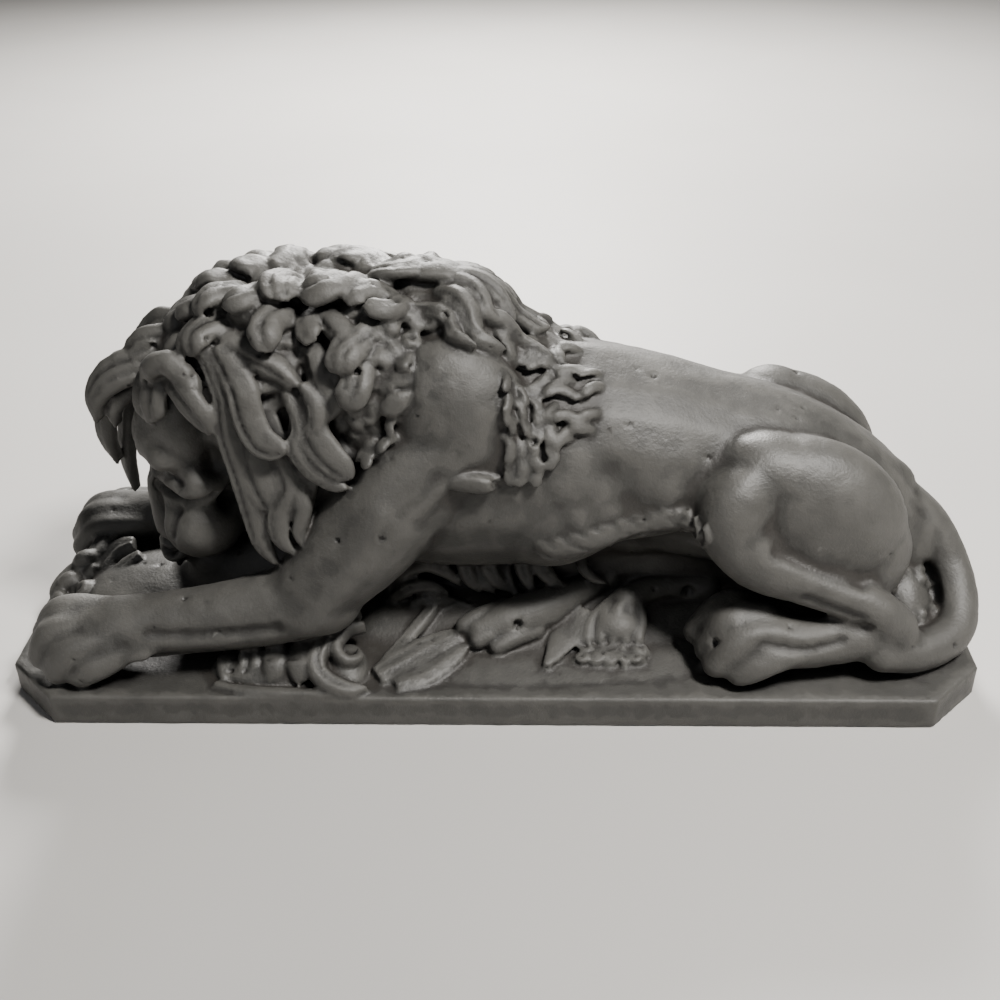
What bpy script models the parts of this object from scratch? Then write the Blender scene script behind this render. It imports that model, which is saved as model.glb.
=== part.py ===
"""A recumbent lion with its head bowed on its forepaws, cast in one piece with a plinth.

The plinth is in metres, with the origin under its middle, +Z up and the lion's head towards -X. The
lion is a free form: its points are in parts of its own length, LION_LENGTH / 200, counted from the
middle of the plinth's top face. Y is negative on the near side, where the tail comes round.
"""

import math
import random

import bmesh
import bpy
import numpy as np
from mathutils import Euler, Matrix, Vector
from mathutils.bvhtree import BVHTree

# The plinth
PLINTH_LENGTH = 0.200
PLINTH_DEPTH = 0.072
PLINTH_HEIGHT = 0.007
CORNER_CUT = 0.011
PLINTH_EDGE = 0.0004

# The lion
LION_LENGTH = 0.200
UNIT = LION_LENGTH / 200

# The grid of the skin over the body and over its carving, and how often each is softened
BODY_GRID = 0.0011
BODY_ROUNDS = 6
CARVING_GRID = 0.00068
CARVING_ROUNDS = 1
MOST_TRIANGLES = 11900

# The head is turned towards the near side about an upright line through the neck
HEAD_TURN_DEGREES = 23
NECK = Vector((-50, 0, 0))
HEAD_PLACE = (Matrix.Translation(NECK) @ Matrix.Rotation(math.radians(HEAD_TURN_DEGREES), 4, "Z")
              @ Matrix.Translation(-NECK))
NEAR, FAR = -1, 1


class Clay:
    """Closed forms that overlap, collected in one mesh until a skin is laid over them."""

    def __init__(self):
        self.mesh = bmesh.new()
        self.unit_ball = bpy.data.meshes.new("unit ball")
        self.unit_pebble = bpy.data.meshes.new("unit pebble")
        form = bmesh.new()
        bmesh.ops.create_icosphere(form, subdivisions=4, radius=1)
        form.to_mesh(self.unit_ball)
        for v in form.verts:
            v.co /= sum(abs(c) ** 3 for c in v.co) ** (1 / 3)
        form.to_mesh(self.unit_pebble)
        form.free()

    def add(self, mesh):
        self.mesh.from_mesh(mesh)
        bpy.data.meshes.remove(mesh)

    def ball(self, centre, radii, turn=(0, 0, 0)):
        """A round mass of three radii, turned about X, Y and Z by degrees."""
        angles = Euler([math.radians(a) for a in turn])
        size = radii if hasattr(radii, "__len__") else (radii,) * 3
        form = self.unit_ball.copy()
        place = Matrix.Translation(Vector(centre)) @ angles.to_matrix().to_4x4()
        form.transform(place @ Matrix.Diagonal((*size, 1)))
        self.add(form)

    def pebble(self, centre, radii, ahead, out):
        """A ball with fuller corners, its radii along the way ahead, across it and outwards."""
        side = out.cross(ahead).normalized()
        axes = Matrix((ahead, side, ahead.cross(side))).transposed()
        form = self.unit_pebble.copy()
        form.transform(Matrix.Translation(centre) @ axes.to_4x4() @ Matrix.Diagonal((*radii, 1)))
        self.add(form)

    def limb(self, points):
        """A round-ended tube along a smooth curve: each point is x, y, z and the tube's radius there."""
        stations = smooth_path(points, 8 * len(points))
        self.add(loft([circle_about(stations, i, 20) for i in range(len(stations))]))
        for x, y, z, radius in (stations[0][:4], stations[-1][:4]):
            self.ball((x, y, z), (radius,) * 3)

    def take(self, other):
        """Adds the forms of another lump of clay and uses it up."""
        mesh = bpy.data.meshes.new("lump")
        other.mesh.to_mesh(mesh)
        other.mesh.free()
        self.add(mesh)

    def to_object(self, name):
        """The collected forms as one object."""
        data = bpy.data.meshes.new(name)
        self.mesh.to_mesh(data)
        self.mesh.free()
        bpy.data.meshes.remove(self.unit_ball)
        bpy.data.meshes.remove(self.unit_pebble)
        made = bpy.data.objects.new(name, data)
        bpy.context.scene.collection.objects.link(made)
        return made


def smooth_path(points, steps):
    """Stations along a smooth line through the points, which may hold more numbers than x, y, z."""
    knots = np.array(points, float)
    ends = np.vstack([2 * knots[0] - knots[1], knots, 2 * knots[-1] - knots[-2]])
    stations = []
    for s in np.linspace(0, len(knots) - 1, steps):
        i = min(int(s), len(knots) - 2)
        t = s - i
        a, b, c, d = ends[i:i + 4]
        bend = (2 * a - 5 * b + 4 * c - d) * t * t + (3 * b - a - 3 * c + d) * t ** 3
        stations.append(0.5 * (2 * b + (c - a) * t + bend))
    return np.array(stations)


def along(stations, i):
    """The direction of the line at station i."""
    step = stations[min(i + 1, len(stations) - 1)][:3] - stations[max(i - 1, 0)][:3]
    return Vector(step).normalized()


def circle_about(stations, i, sides):
    """A ring of points around station i, as far from it as the station's fourth number."""
    x, y, z, radius = (float(v) for v in stations[i][:4])
    forward = along(stations, i)
    side = forward.cross(Vector((0.13, 0.17, 1))).normalized()
    up = side.cross(forward)
    turns = [2 * math.pi * k / sides for k in range(sides)]
    return [Vector((x, y, z)) + radius * (math.cos(a) * side + math.sin(a) * up) for a in turns]


def loft(rings):
    """A closed mesh through rings of equally many points, with a fan over each end."""
    shape = bmesh.new()
    made = [[shape.verts.new(point) for point in ring] for ring in rings]
    count = len(rings[0])
    for first, second in zip(made, made[1:]):
        for k in range(count):
            n = (k + 1) % count
            shape.faces.new((first[k], first[n], second[n], second[k]))
    for ring, turned in ((made[0], True), (made[-1], False)):
        middle = shape.verts.new(sum((v.co for v in ring), Vector()) / count)
        for k in range(count):
            n = (k + 1) % count
            shape.faces.new((ring[n], ring[k], middle) if turned else (ring[k], ring[n], middle))
    bmesh.ops.recalc_face_normals(shape, faces=shape.faces)
    mesh = bpy.data.meshes.new("loft")
    shape.to_mesh(mesh)
    shape.free()
    return mesh


def pair(shape, centre, radii, turn=(0, 0, 0)):
    """The same ball on both sides of the lion's middle plane."""
    x, y, z = centre
    a, b, c = turn
    shape((x, -abs(y), z), radii, (a, b, c))
    shape((x, abs(y), z), radii, (-a, b, -c))


def torso(clay):
    clay.limb([(-26, 0, 37, 21), (-12, 0, 37, 24), (2, 0, 37.5, 24.5), (16, 0, 37.5, 23.5),
               (30, 0, 36.5, 21.5), (43, 0, 34, 20), (55, 0, 31, 19.5), (67, 0, 26, 18.5),
               (78, 0, 20.5, 15.5), (86, 0, 17, 11)])
    clay.limb([(5, 0, 56, 6), (20, 0, 55, 6), (40, 0, 50, 5.5), (56, 0, 46, 5.5), (70, 0, 40, 5),
               (84, 0, 29, 5)])
    pair(clay.ball, (13, -10, 33), (21, 14, 16))
    pair(clay.ball, (-5, -14, 49), (15, 11, 20), (0, -14, 0))
    pair(clay.ball, (-15, -15, 36), (12, 10, 16), (0, 20, 0))
    clay.ball((26, 0, 23), (26, 14, 9), (0, -4, 0))


def hindquarters(clay):
    """Both haunches, the far one set a little further back, and the hind legs folded under them."""
    haunch = {NEAR: ((59, -15, 38), (16, 9, 9.5)), FAR: ((61, 15, 41.5), (9, 7, 7))}
    for side in (NEAR, FAR):
        clay.ball((65, 15 * side, 31), (20, 11, 15.5), (0, 30, 0))
        clay.ball(*haunch[side], (0, 20, 0))
        clay.ball((77, 15 * side, 20), (8, 8, 11.5), (0, 20, 0))
        hip = {NEAR: (54, 16, 41, 9), FAR: (61, 15, 36, 9)}
        leg = [hip[side], (48, 19, 36, 8.6), (48.5, 21, 30, 7.8), (54, 23, 25, 6.6), (62, 24, 21.5, 5.4),
               (70, 25, 18, 4.6), (78, 25.5, 14, 4.4), (82, 25, 10, 4.4)]
        foot = [(82, 25, 9, 4.6), (73, 26, 8.2, 5), (64, 27, 7.6, 5.2), (56, 27, 8, 6)]
        clay.limb(both_sides(leg, -side))
        clay.limb(both_sides(foot, -side))
        clay.ball((56, 25.5 * side, 7.6), (8, 6.5, 6.4))
        toes(clay, (((55, 20.5, 12), (47.5, 20.8, 12.4), (42.4, 21.2, 6), 3.1),
                    ((55, 24.6, 12.6), (48.5, 25.2, 11.8), (44.4, 25.8, 5), 3.2),
                    ((57, 28.4, 11), (50, 29.2, 9.4), (45.6, 29.8, 4.2), 3.2),
                    ((60, 30.6, 7.6), (54, 31.6, 5.6), (50.4, 31.8, 3.4), 3)), -side)


def toes(clay, sets, side):
    """Toes side by side, each from its root over its knuckle to its tip, and its radius."""
    for root, knuckle, tip, radius in sets:
        points = [(*root, radius * 0.95), (*knuckle, radius * 1.08), (*tip, radius * 0.92)]
        clay.limb(both_sides(points, side))


def forelegs(clay):
    clay.limb([(-8, -16, 47, 10), (-16, -18, 39, 11), (-25, -20, 28.5, 11), (-34, -22, 19, 9.2)])
    clay.limb([(-34, -22.5, 16.5, 8.8), (-43, -23.2, 13.6, 7.9), (-54, -23.8, 11.4, 7.3),
               (-66, -24.3, 9.8, 6.9), (-76, -24.8, 8.8, 7)])
    clay.ball((-80, -24.5, 8), (9, 7.5, 6.8))
    clay.ball((-70.5, -31, 6.6), (3, 2.2, 2.2))
    toes(clay, (((-79, 21.5, 11.4), (-88, 22.4, 11.6), (-92.6, 22.8, 6.6), 3.2),
                ((-79, 26, 11), (-88.5, 27.6, 9.8), (-92, 28.2, 4.6), 3.3),
                ((-77, 29, 9.6), (-84.5, 31, 7.8), (-88, 31.4, 3.2), 3.3),
                ((-74, 30.2, 7), (-79.5, 32, 5), (-83, 32.2, 2.8), 3.1)), FAR)
    clay.limb([(-8, 16, 47, 10), (-18, 18, 36, 11), (-29, 19, 24, 11), (-40, 20, 14, 10)])
    clay.limb([(-40, 20, 13, 9.4), (-54, 20, 10.5, 8.2), (-68, 20, 8.8, 7), (-78, 20, 8, 6.6),
               (-84, 20, 7.4, 6.2)])
    clay.ball((-86, 20.5, 6), (9, 8.5, 6.4))
    toes(clay, (((-82, 14.6, 9), (-91.5, 14, 8.4), (-96.6, 13.8, 3.6), 2.9),
                ((-83, 18.4, 10.4), (-93.5, 18.2, 9.4), (-98, 18.2, 4), 3),
                ((-83, 22.6, 10.4), (-93.5, 22.8, 9.4), (-98, 23, 4), 3),
                ((-81, 26.4, 9), (-90.5, 27.2, 8), (-95.4, 27.6, 3.4), 2.9)), NEAR)


def head(clay):
    """The head hangs straight down from the mane, turned a little towards the near side."""
    face = Clay()
    face.ball((-58, 0, 48), (14.5, 13, 13))
    face.ball((-65.5, 0, 44.5), (8.5, 9, 9))
    face.limb([(-67.3, 0, 43, 5.2), (-68.2, 0, 35, 4.4), (-68.6, 0, 26, 4), (-68.4, 0, 20, 3.7)])
    face.ball((-68.6, 0, 17.6), (3.8, 4.8, 3.4))
    pair(face.ball, (-67.6, -5.6, 42.4), (4.8, 5, 4.2))
    pair(face.ball, (-66.6, -6.4, 36.8), (4, 4.4, 3.2))
    pair(face.ball, (-61.2, -8.8, 35.6), (7, 4.8, 5.4))
    pair(face.ball, (-64.8, -4.4, 30.5), (4.8, 4.2, 5.5))
    pair(face.ball, (-62.6, -5.8, 24.6), (8.1, 7.2, 7.8))
    pair(face.ball, (-52, -4, 30), (8, 5, 10))
    face.ball((-60, 0, 13.5), (6.6, 5.4, 5))
    face.mesh.transform(HEAD_PLACE)
    clay.take(face)


def mane_mass(clay):
    """What lies under the locks, well inside the mane's outline."""
    clay.ball((-42, 0, 53), (19.5, 17.5, 20.5))
    clay.ball((-22, 0, 55), (18.5, 18.5, 20.2))
    clay.ball((-6, 0, 53.5), (14, 18, 21))
    clay.ball((8, 0, 47), (12, 16.5, 17))
    clay.ball((-61, -1, 55), (7.5, 10, 6))


def tail(clay):
    """The tail comes round the near side and ends at the heel."""
    clay.limb([(83, 0, 24, 8), (91, -2, 19.5, 6.2), (96.2, -6, 13, 5), (97.6, -13, 7.7, 4.5),
               (95, -20, 4.6, 4.3), (87, -25.5, 4.2, 4.2), (79, -28, 5.5, 3.8)])


def ground(clay):
    """The bank of earth that the lion lies on, with a lump inside the loop of the tail."""
    clay.ball((6, 4, -7), (84, 30, 16))
    clay.ball((3, 0, -1), (88, 34, 3.2))
    clay.ball((86, -9, 3), (7.6, 12, 12.6), (-14, 0, 0))
    clay.ball((18, 1, 10), (62, 9, 15))
    clay.ball((-50, 0, 6), (20, 12, 14))
    clay.ball((-70, -1, -2), (24, 17, 11))
    clay.ball((84, -10, 0), (11, 14, 11))


def furrow(body, path, width, depth):
    """Presses a soft groove into the body along a line near its surface; a negative depth is a ridge."""
    count = len(body.data.vertices)
    places, ways = np.empty(count * 3), np.empty(count * 3)
    body.data.vertices.foreach_get("co", places)
    body.data.vertices.foreach_get("normal", ways)
    places, ways = places.reshape(-1, 3), ways.reshape(-1, 3)
    line = smooth_path(path, 6 * len(path))
    above = (places > line.min(axis=0) - 3 * width).all(axis=1)
    below = (places < line.max(axis=0) + 3 * width).all(axis=1)
    near = np.nonzero(above & below)[0]
    gaps = np.linalg.norm(places[near, None] - line[None], axis=2).min(axis=1)
    places[near] -= ways[near] * (depth * np.exp(-(gaps / width) ** 2))[:, None]
    body.data.vertices.foreach_set("co", places.ravel())
    body.data.update()


def model_muscles(body):
    """The hollows and ridges of legs and flank."""
    for width, depth, path in (
            (3, 4, [(-56, -15, 54), (-55, -14, 44), (-53, -11, 33)]),
            (1.6, 2, [(55.5, -26, 28.8), (61, -26, 26), (68, -26, 22), (73, -25.5, 20)]),
            (1.3, 2.4, [(50, -28, 16.8), (56, -29, 16), (61, -29.5, 14.8)]),
            (1.1, 1.3, [(50, -30, 10.5), (56, -31.5, 10.6), (63, -32, 9.6), (70, -31, 11)]),
            (1, 1, [(62, -29, 20), (68, -29.5, 17.5), (74, -29, 15.5)]),
            (1, 1.1, [(64, -30, 15.5), (69, -30, 14), (75, -29.5, 13)]),
            (3.4, 1, [(47, -20, 48), (43, -21, 43), (40, -22, 36)]),
            (4, 1.6, [(22, -24, 50), (26, -23, 42), (30, -22, 34)]),
            (3, -1.2, [(-20, -28, 38), (-28, -30, 25), (-36, -31, 14)]),
            (1.2, 1.3, [(-42, -31, 13.6), (-50, -31, 12.6), (-60, -31, 12), (-68, -31, 12.2)]),
            (2.4, 2.2, [(-36, -32, 8), (-46, -31.5, 5), (-58, -31, 4), (-70, -31, 4)]),
            (6, 5, [(26, -15, 18), (34, -17, 19), (41, -18, 22)])):
        furrow(body, path, width, depth)
        furrow(body, both_sides(path, FAR), width, depth)
    furrow(body, [(86, -6, 17), (91.5, -9, 13), (93, -14, 8), (92, -18, 5)], 1.4, 2.2)


def model_face(lion, bare):
    """The eyes under their brows, the creases of the cheeks, the nostrils and the mouth.

    Bare is the surface of the body without its hair."""
    for width, depth, path in (
            (1.6, 0.8, [(-73.5, 0, 47), (-73.5, 0, 42), (-73, 0, 37)]),
            (2.2, 2.2, [(-71, -3.4, 37), (-69.5, -7, 36.8), (-68, -10.5, 35.8)]),
            (0.8, -0.7, [(-71, -3, 38), (-70, -5.5, 38.4), (-69, -8.5, 37.8), (-67.5, -11, 36)]),
            (0.7, 2.2, [(-71, -2.8, 35.6), (-70.4, -5.5, 36.2), (-69.2, -8, 36), (-68, -10.5, 35)]),
            (0.9, 0.9, [(-71, -3, 35.6), (-71, -3.4, 35.2)]),
            (0.7, -0.7, [(-70.5, -3.6, 34.4), (-69.8, -6, 34.4), (-68.4, -9.4, 34)]),
            (0.8, 0.7, [(-70.5, -4.2, 32.8), (-69.4, -7, 32.6), (-67.5, -10, 32.6)]),
            (0.9, 0.9, [(-71.5, -3.2, 34), (-71.5, -3.4, 31), (-70.8, -3.8, 27), (-70.6, -4.4, 23.5)]),
            (1.1, 1.3, [(-70.5, -4.6, 31), (-68, -8.4, 30.4), (-64, -12, 30), (-59, -14, 30.8)]),
            (1.2, 0.5, [(-67, -10, 29), (-69, -9, 26.6), (-69.5, -8.6, 24)]),
            (0.6, 0.8, [(-72.5, 0, 21.6), (-71.5, -3, 21), (-70.5, -5.4, 20)]),
            (0.7, 1.6, [(-72, -2.4, 18.2), (-71.2, -4, 18.4), (-70.2, -5, 19.2)]),
            (0.6, 0.9, [(-72.5, 0, 17), (-72, 0, 14.5), (-70, 0, 12.5)]),
            (1.1, 2.0, [(-70, 0, 13), (-68, -5, 13.6), (-64.5, -9, 14.6), (-60, -12, 16.6)])):
        for side in (NEAR, FAR):
            line = [HEAD_PLACE @ Vector(point) for point in both_sides(path, -side)]
            furrow(lion, [bare.find_nearest(point)[0] for point in line], width, depth)


class Coat:
    """Carved hair and folds laid on a body."""

    def __init__(self, body):
        self.clay = Clay()
        shape = bmesh.new()
        shape.from_mesh(body.data)
        self.surface = BVHTree.FromBMesh(shape)
        shape.free()

    def touch(self, point):
        """The nearest place on the body and the way out of the body there."""
        place, out, _, _ = self.surface.find_nearest(Vector(point[:3]))
        return place, out

    def flank(self, x, z, side, lift=0.0):
        """The place on the body's side at x and z, that far out from it."""
        place, out, _, _ = self.surface.ray_cast(Vector((x, 60 * side, z)), Vector((0, -side, 0)))
        if place is None:
            place, out = self.touch((x, 10 * side, z))
        return tuple(place + out * lift)

    def floor(self, x, y, lift=0.0, start=16):
        """The place on the ground at x and y, that high above it."""
        place = self.surface.ray_cast(Vector((x, y, start)), Vector((0, 0, -1)))[0]
        return (x, y, place.z + lift) if place else (x, y, lift)

    def lock(self, points, width, thickness=3.2, strands=3, rise=1.2, blunt=3, free=False,
             facing=None, split=0):
        """A tapering lock of strands side by side. Its points settle on the body unless it hangs free.

        Split is how far the strands stand apart at its end."""
        stations = smooth_path(points, 7 * len(points))
        rings = []
        for i, station in enumerate(stations):
            s = i / (len(stations) - 1)
            place, out = self.touch(station)
            if free:
                place = Vector(station)
            if facing:
                out = Vector(facing)
            side = along(stations, i).cross(out).normalized()
            out = side.cross(along(stations, i))
            half = 0.5 * width * min(1, 0.65 + 1.4 * s) * (1 - 0.85 * s ** blunt)
            depth = thickness * (1 - 0.4 * s ** 3)
            root = 0 if free else thickness * max(0, 1 - 4 * s) ** 2
            centre = place + out * (rise * s * s - root)
            ahead = along(stations, i) * split * s ** 4
            rings.append([centre + side * (half * u) + out * (depth * h) + ahead * lobe
                          for u, h, lobe in strand_section(strands)])
        self.clay.add(loft(rings))

    def curl(self, point, size, start=0, way=1, lift=0.25):
        """A fat curl wound round a small hole, standing up from the body towards its tip."""
        place, out = self.touch(point)
        side = out.orthogonal().normalized()
        up = out.cross(side)
        spiral = []
        for k in range(8):
            turn = math.radians(start + way * 48 * k)
            reach = size * (0.66 - 0.03 * k)
            round_hole = (math.cos(turn) * side + math.sin(turn) * up) * reach
            centre = place + round_hole + out * size * (lift + 0.07 * k)
            spiral.append((*centre, size * (0.50 - 0.022 * k)))
        self.clay.limb(spiral)

    def tuft(self, point, size, turn=0, strands=2, bend=0.4, flow=(-0.25, 0, -1)):
        """A short thick lock that rises from the body and hangs over at its end.

        Its size is half its length, half its width and its thickness."""
        place, out = self.touch(point)
        level = (Vector(flow) - out * out.dot(Vector(flow))).normalized()
        level = Matrix.Rotation(math.radians(turn), 3, out) @ level
        side = level.cross(out)
        length, width, thickness = size
        path = [place + level * (length * ahead) + side * (bend * width * sway) + out * (thickness * high)
                for ahead, sway, high in ((-1.25, -0.6, -0.5), (-0.7, 0, 0.5), (0, 0.5, 1.25),
                                          (0.6, 0.3, 1.55), (1, -0.3, 1.35), (1.2, -0.8, 0.95))]
        self.lock(path, 2.1 * width, 0.8 * thickness, strands, rise=0, blunt=6, free=True,
                  facing=out, split=0.3 * length)

    def slab(self, point, size, turn=0, tilt=24, flow=(-0.25, 0, -1)):
        """A small flat tuft, its end standing off the body.

        Its size is half its length, half its width and its thickness."""
        place, out = self.touch(point)
        level = (Vector(flow) - out * out.dot(Vector(flow))).normalized()
        level = Matrix.Rotation(math.radians(turn), 3, out) @ level
        ahead = level * math.cos(math.radians(tilt)) + out * math.sin(math.radians(tilt))
        self.clay.pebble(place + out * size[2] * 0.3, size, ahead, out)

    def comma(self, point, size, turn=0, way=1):
        """A small bent drop of hair, its round head up and its tail drawn out along the body."""
        place, out = self.touch(point)
        level = Matrix.Rotation(math.radians(turn), 3, out) @ out.cross(Vector((1, 0, 0))).normalized()
        side = out.cross(level)
        points = []
        for k in range(5):
            bend = math.radians(35 * k - 50) * way
            spot = place + (level * math.cos(bend) + side * math.sin(bend)) * size - level * size
            points.append((*(spot + out * size * (0.12 - 0.05 * k)), size * (0.52 - 0.075 * k)))
        self.clay.limb(points)


def strand_section(strands, cut=0.55):
    """A section whose outer side rises over each strand and drops at its edge, with a plain inner side.

    Each of its points is across, out and how near it is to the middle of its strand."""
    section = []
    for k in range(strands):
        start, end = (2 * (n / strands) ** 1.15 - 1 for n in (k, k + 1))
        for t, ledge in ((0.03, 0), (0.1, 0.5), (0.35, 0.78), (0.7, 1), (0.88, 0.94), (0.97, 0.3)):
            u = start + (end - start) * t
            section.append((u, (1 - u * u) ** 0.4 * (1 - cut + cut * ledge), math.sin(math.pi * t)))
    for k in range(1, 8):
        turn = math.pi * k / 8
        section.append((math.cos(turn), -math.sin(turn), 0))
    return section


def both_sides(points, side):
    return [(x, y * -side, *rest) for x, y, *rest in points]


def forehead_locks(coat):
    """The hood of locks that falls over the brow, longest on the far side."""
    ahead = (-0.55, -0.8, 0.25)
    for width, strands, blunt, path in (
            (4.5, 2, 3, [(-73, 4, 52), (-76, 4, 44), (-77.5, 3, 34), (-77, 3, 26)]),
            (6, 2, 3, [(-74.5, 0, 52), (-78.5, -1, 47), (-79.5, -1, 41), (-78.5, 0, 35)]),
            (5, 2, 3, [(-72, 8, 52), (-74.5, 9, 45), (-74, 9, 36), (-71, 8, 30)]),
            (8, 3, 3, [(-65, -4, 58.5), (-70.5, -5.5, 59), (-75.5, -6, 56.5), (-78.5, -6, 52.5),
                       (-79, -5.5, 47.5)]),
            (5, 2, 3, [(-70, -3, 54.5), (-73.5, -4, 52.5), (-75.5, -5, 49.5), (-75, -6, 46.5)]),
            (12, 6, 14, [(-64, -11, 60), (-65, -12.5, 56.5), (-65.5, -13.5, 51)]),
            (8, 3, 9, [(-60, -14.5, 60), (-57.5, -17, 58), (-54.5, -18.5, 55), (-51.5, -19, 51.5)]),
            (8, 3, 4, [(-61, -3, 63), (-67.5, -4, 63), (-71.5, -4.5, 59)]),
            (7, 3, 4, [(-60, 4, 65), (-67, 6, 63), (-72, 8, 57), (-75, 9, 51)])):
        coat.lock(path, width, 3.4, strands, rise=0, blunt=blunt, free=True, facing=ahead)
    for path in ([(-65.5, -11, 57.5, 1.9), (-64, -13, 62, 2.3), (-60.5, -14.5, 64.2, 2.5),
                  (-56.5, -16, 61.5, 2.3),
                  (-55.5, -17, 57.5, 1.8)],
                 [(-67, 11, 59, 2.4), (-65, 14, 61, 2.6), (-61, 16, 60, 2.4), (-59, 18, 56, 2)]):
        coat.clay.limb(path)
    for width, path in ((8, [(-64, 14, 61), (-66, 17, 56), (-64, 19, 50)]),
                        (7, [(-69, 11, 58), (-71.5, 14, 53), (-69, 16, 46)])):
        coat.lock(path, width, 3.6, 3, rise=0, blunt=6, free=True, facing=(-0.5, 0.85, 0.2))


def curtain(coat):
    """The long locks beside the cheek: width, bluntness, y at root and tip, and x, z along each."""
    for side in (NEAR, FAR):
        for width, blunt, root, tip, line in (
                (4.6, 4, 20, 26, [(-36, 44), (-35.5, 39), (-38, 34), (-36.5, 28)]),
                (4.6, 3, 18.5, 21.5, [(-33, 61), (-31, 57), (-30.5, 53), (-27.5, 50), (-24.5, 48)]),
                (5.6, 3, 20, 23, [(-39, 48), (-37.5, 42), (-41, 36), (-42, 30), (-40, 24)]),
                (4.8, 3, 19, 22.5, [(-35.5, 57), (-33.5, 52), (-30.5, 49), (-26, 47)]),
                (7.2, 3, 19.5, 25, [(-36, 58), (-37.5, 51), (-34.5, 46), (-30, 43), (-24.5, 43.5)]),
                (6.6, 7, 20, 23, [(-47.5, 48), (-43.5, 42), (-39.5, 36)]),
                (8.6, 9, 17, 23.5, [(-50, 65), (-45.5, 61), (-45, 55), (-43, 50.5), (-36.5, 46.5)]),
                (6.2, 3, 16, 23, [(-56, 63), (-50.5, 61.5), (-48, 56), (-49.5, 50), (-48.5, 44),
                                  (-46, 38), (-45.5, 32), (-43, 26), (-41, 21)])):
            path = []
            for i, (x, z) in enumerate(line):
                spread = (i / (len(line) - 1)) ** 0.5
                path.append((x, (root + (tip - root) * spread) * side, z))
            coat.lock(path, width, 3.4, 3, rise=0.5, blunt=blunt, free=True)
        for x, z, size in ((-42, 55.5, 2.2), (-40, 52, 2.4), (-39.5, 57.5, 2)):
            coat.curl((x, 21 * side, z), size, 40 * x)


def mane_ground(coat):
    """Small tufts that fill the hollows between the mane's large ones."""
    chance = random.Random(17)
    for side in (NEAR, FAR):
        for row in range(7):
            for k in range(13):
                x = -66 + 4 * k + chance.uniform(-1.2, 1.2)
                rise = math.radians(8 + 12.5 * row + chance.uniform(-4, 4))
                spot = (x, 24 * side * math.cos(rise), 54 + 27 * math.sin(rise))
                place, out = coat.touch(spot)
                if place.z < 58 or place.x < -64:
                    continue
                small = chance.uniform(1.5, 2.2)
                coat.slab(place, (small * 1.35, small * 0.8, 1.4), chance.uniform(-60, 60))


def mane_sides(coat):
    """Steps of broad tufts on each side of the mane, over small curls behind them."""
    chance = random.Random(7)
    behind = ((-19, 69, 2.4), (-20, 64, 3), (-22, 56, 2.8), (-21, 50, 2.4), (-24, 52.5, 2.6),
              (-15, 71, 2.6),
              (-14, 67, 2.2), (-18, 59.5, 2.2), (-25, 47.5, 2.2), (-10, 70, 2.2), (-28, 53, 2.4))
    for side in (NEAR, FAR):
        for x, z, size in behind:
            coat.curl(coat.flank(x, z, side), size, chance.uniform(0, 360), chance.choice((-1, 1)))
        for k in range(26):
            x, z = -25 + 2.6 * (k % 5) + chance.uniform(-1, 1), 69 - 4.2 * (k // 5) + chance.uniform(-1, 1)
            small = chance.uniform(1.3, 2)
            coat.slab(coat.flank(x - 0.12 * (69 - z), z, side), (small * 1.3, small, 1.1),
                      chance.uniform(-70, 40) * side)
        for width, blunt, rise, line in (
                (7, 8, 2.4, [(-25.5, 64.5), (-23.5, 61), (-23.5, 57)]),
                (8, 7, 2.6, [(-36, 65.5), (-31, 64), (-28.5, 60), (-28.5, 55)]),
                (6, 3, 2.5, [(-54, 67), (-49, 66), (-43, 64.5), (-38, 62), (-34.5, 59.5)]),
                (6.5, 5, 3, [(-34, 66), (-30, 64), (-27, 61)])):
            path = [coat.flank(x, z, side, 0.6) for x, z in line]
            coat.lock(path, width, 3.4, 2, rise=rise, blunt=blunt)
        for x, y, z, size, turn, strands, bend in (
                (-45, 7, 74.5, (5.4, 5.2, 3.4), -10, 3, 0.4), (-36, 5.5, 75, (5, 4.6, 3.4), 15, 2, -0.5),
                (-62, 5, 64.5, (3.4, 3.2, 2.8), -10, 1, 0.5), (-53, 12, 68.5, (4, 3.2, 3), 10, 2, -0.6),
                (-45.5, 14, 69.5, (3.8, 4.6, 3), -5, 2, 0.5), (-33, 12, 71.5, (5.4, 6.4, 3.4), -25, 3,
                                                               -0.6),
                (-24.5, 16, 70, (4, 3.4, 2.8), -30, 2, 0.6), (-32.5, 18, 64, (5.4, 4, 3), -30, 2, -0.5),
                (-24.5, 19, 65, (4.2, 3, 3), -10, 2, 0.6), (-57, 9, 67.5, (3.6, 2.8, 2.6), 20, 1, -0.6),
                (-39.5, 13, 71.5, (3.6, 2.8, 2.8), 25, 1, 0.8), (-28, 8.5, 75.5, (4.8, 4, 3), -30, 2, 0.5),
                (-18, 10, 75, (4.4, 3.6, 2.6), -50, 2, -0.6)):
            coat.tuft((x, y * side, z), size, turn * -side, strands, bend * -side)


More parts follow.
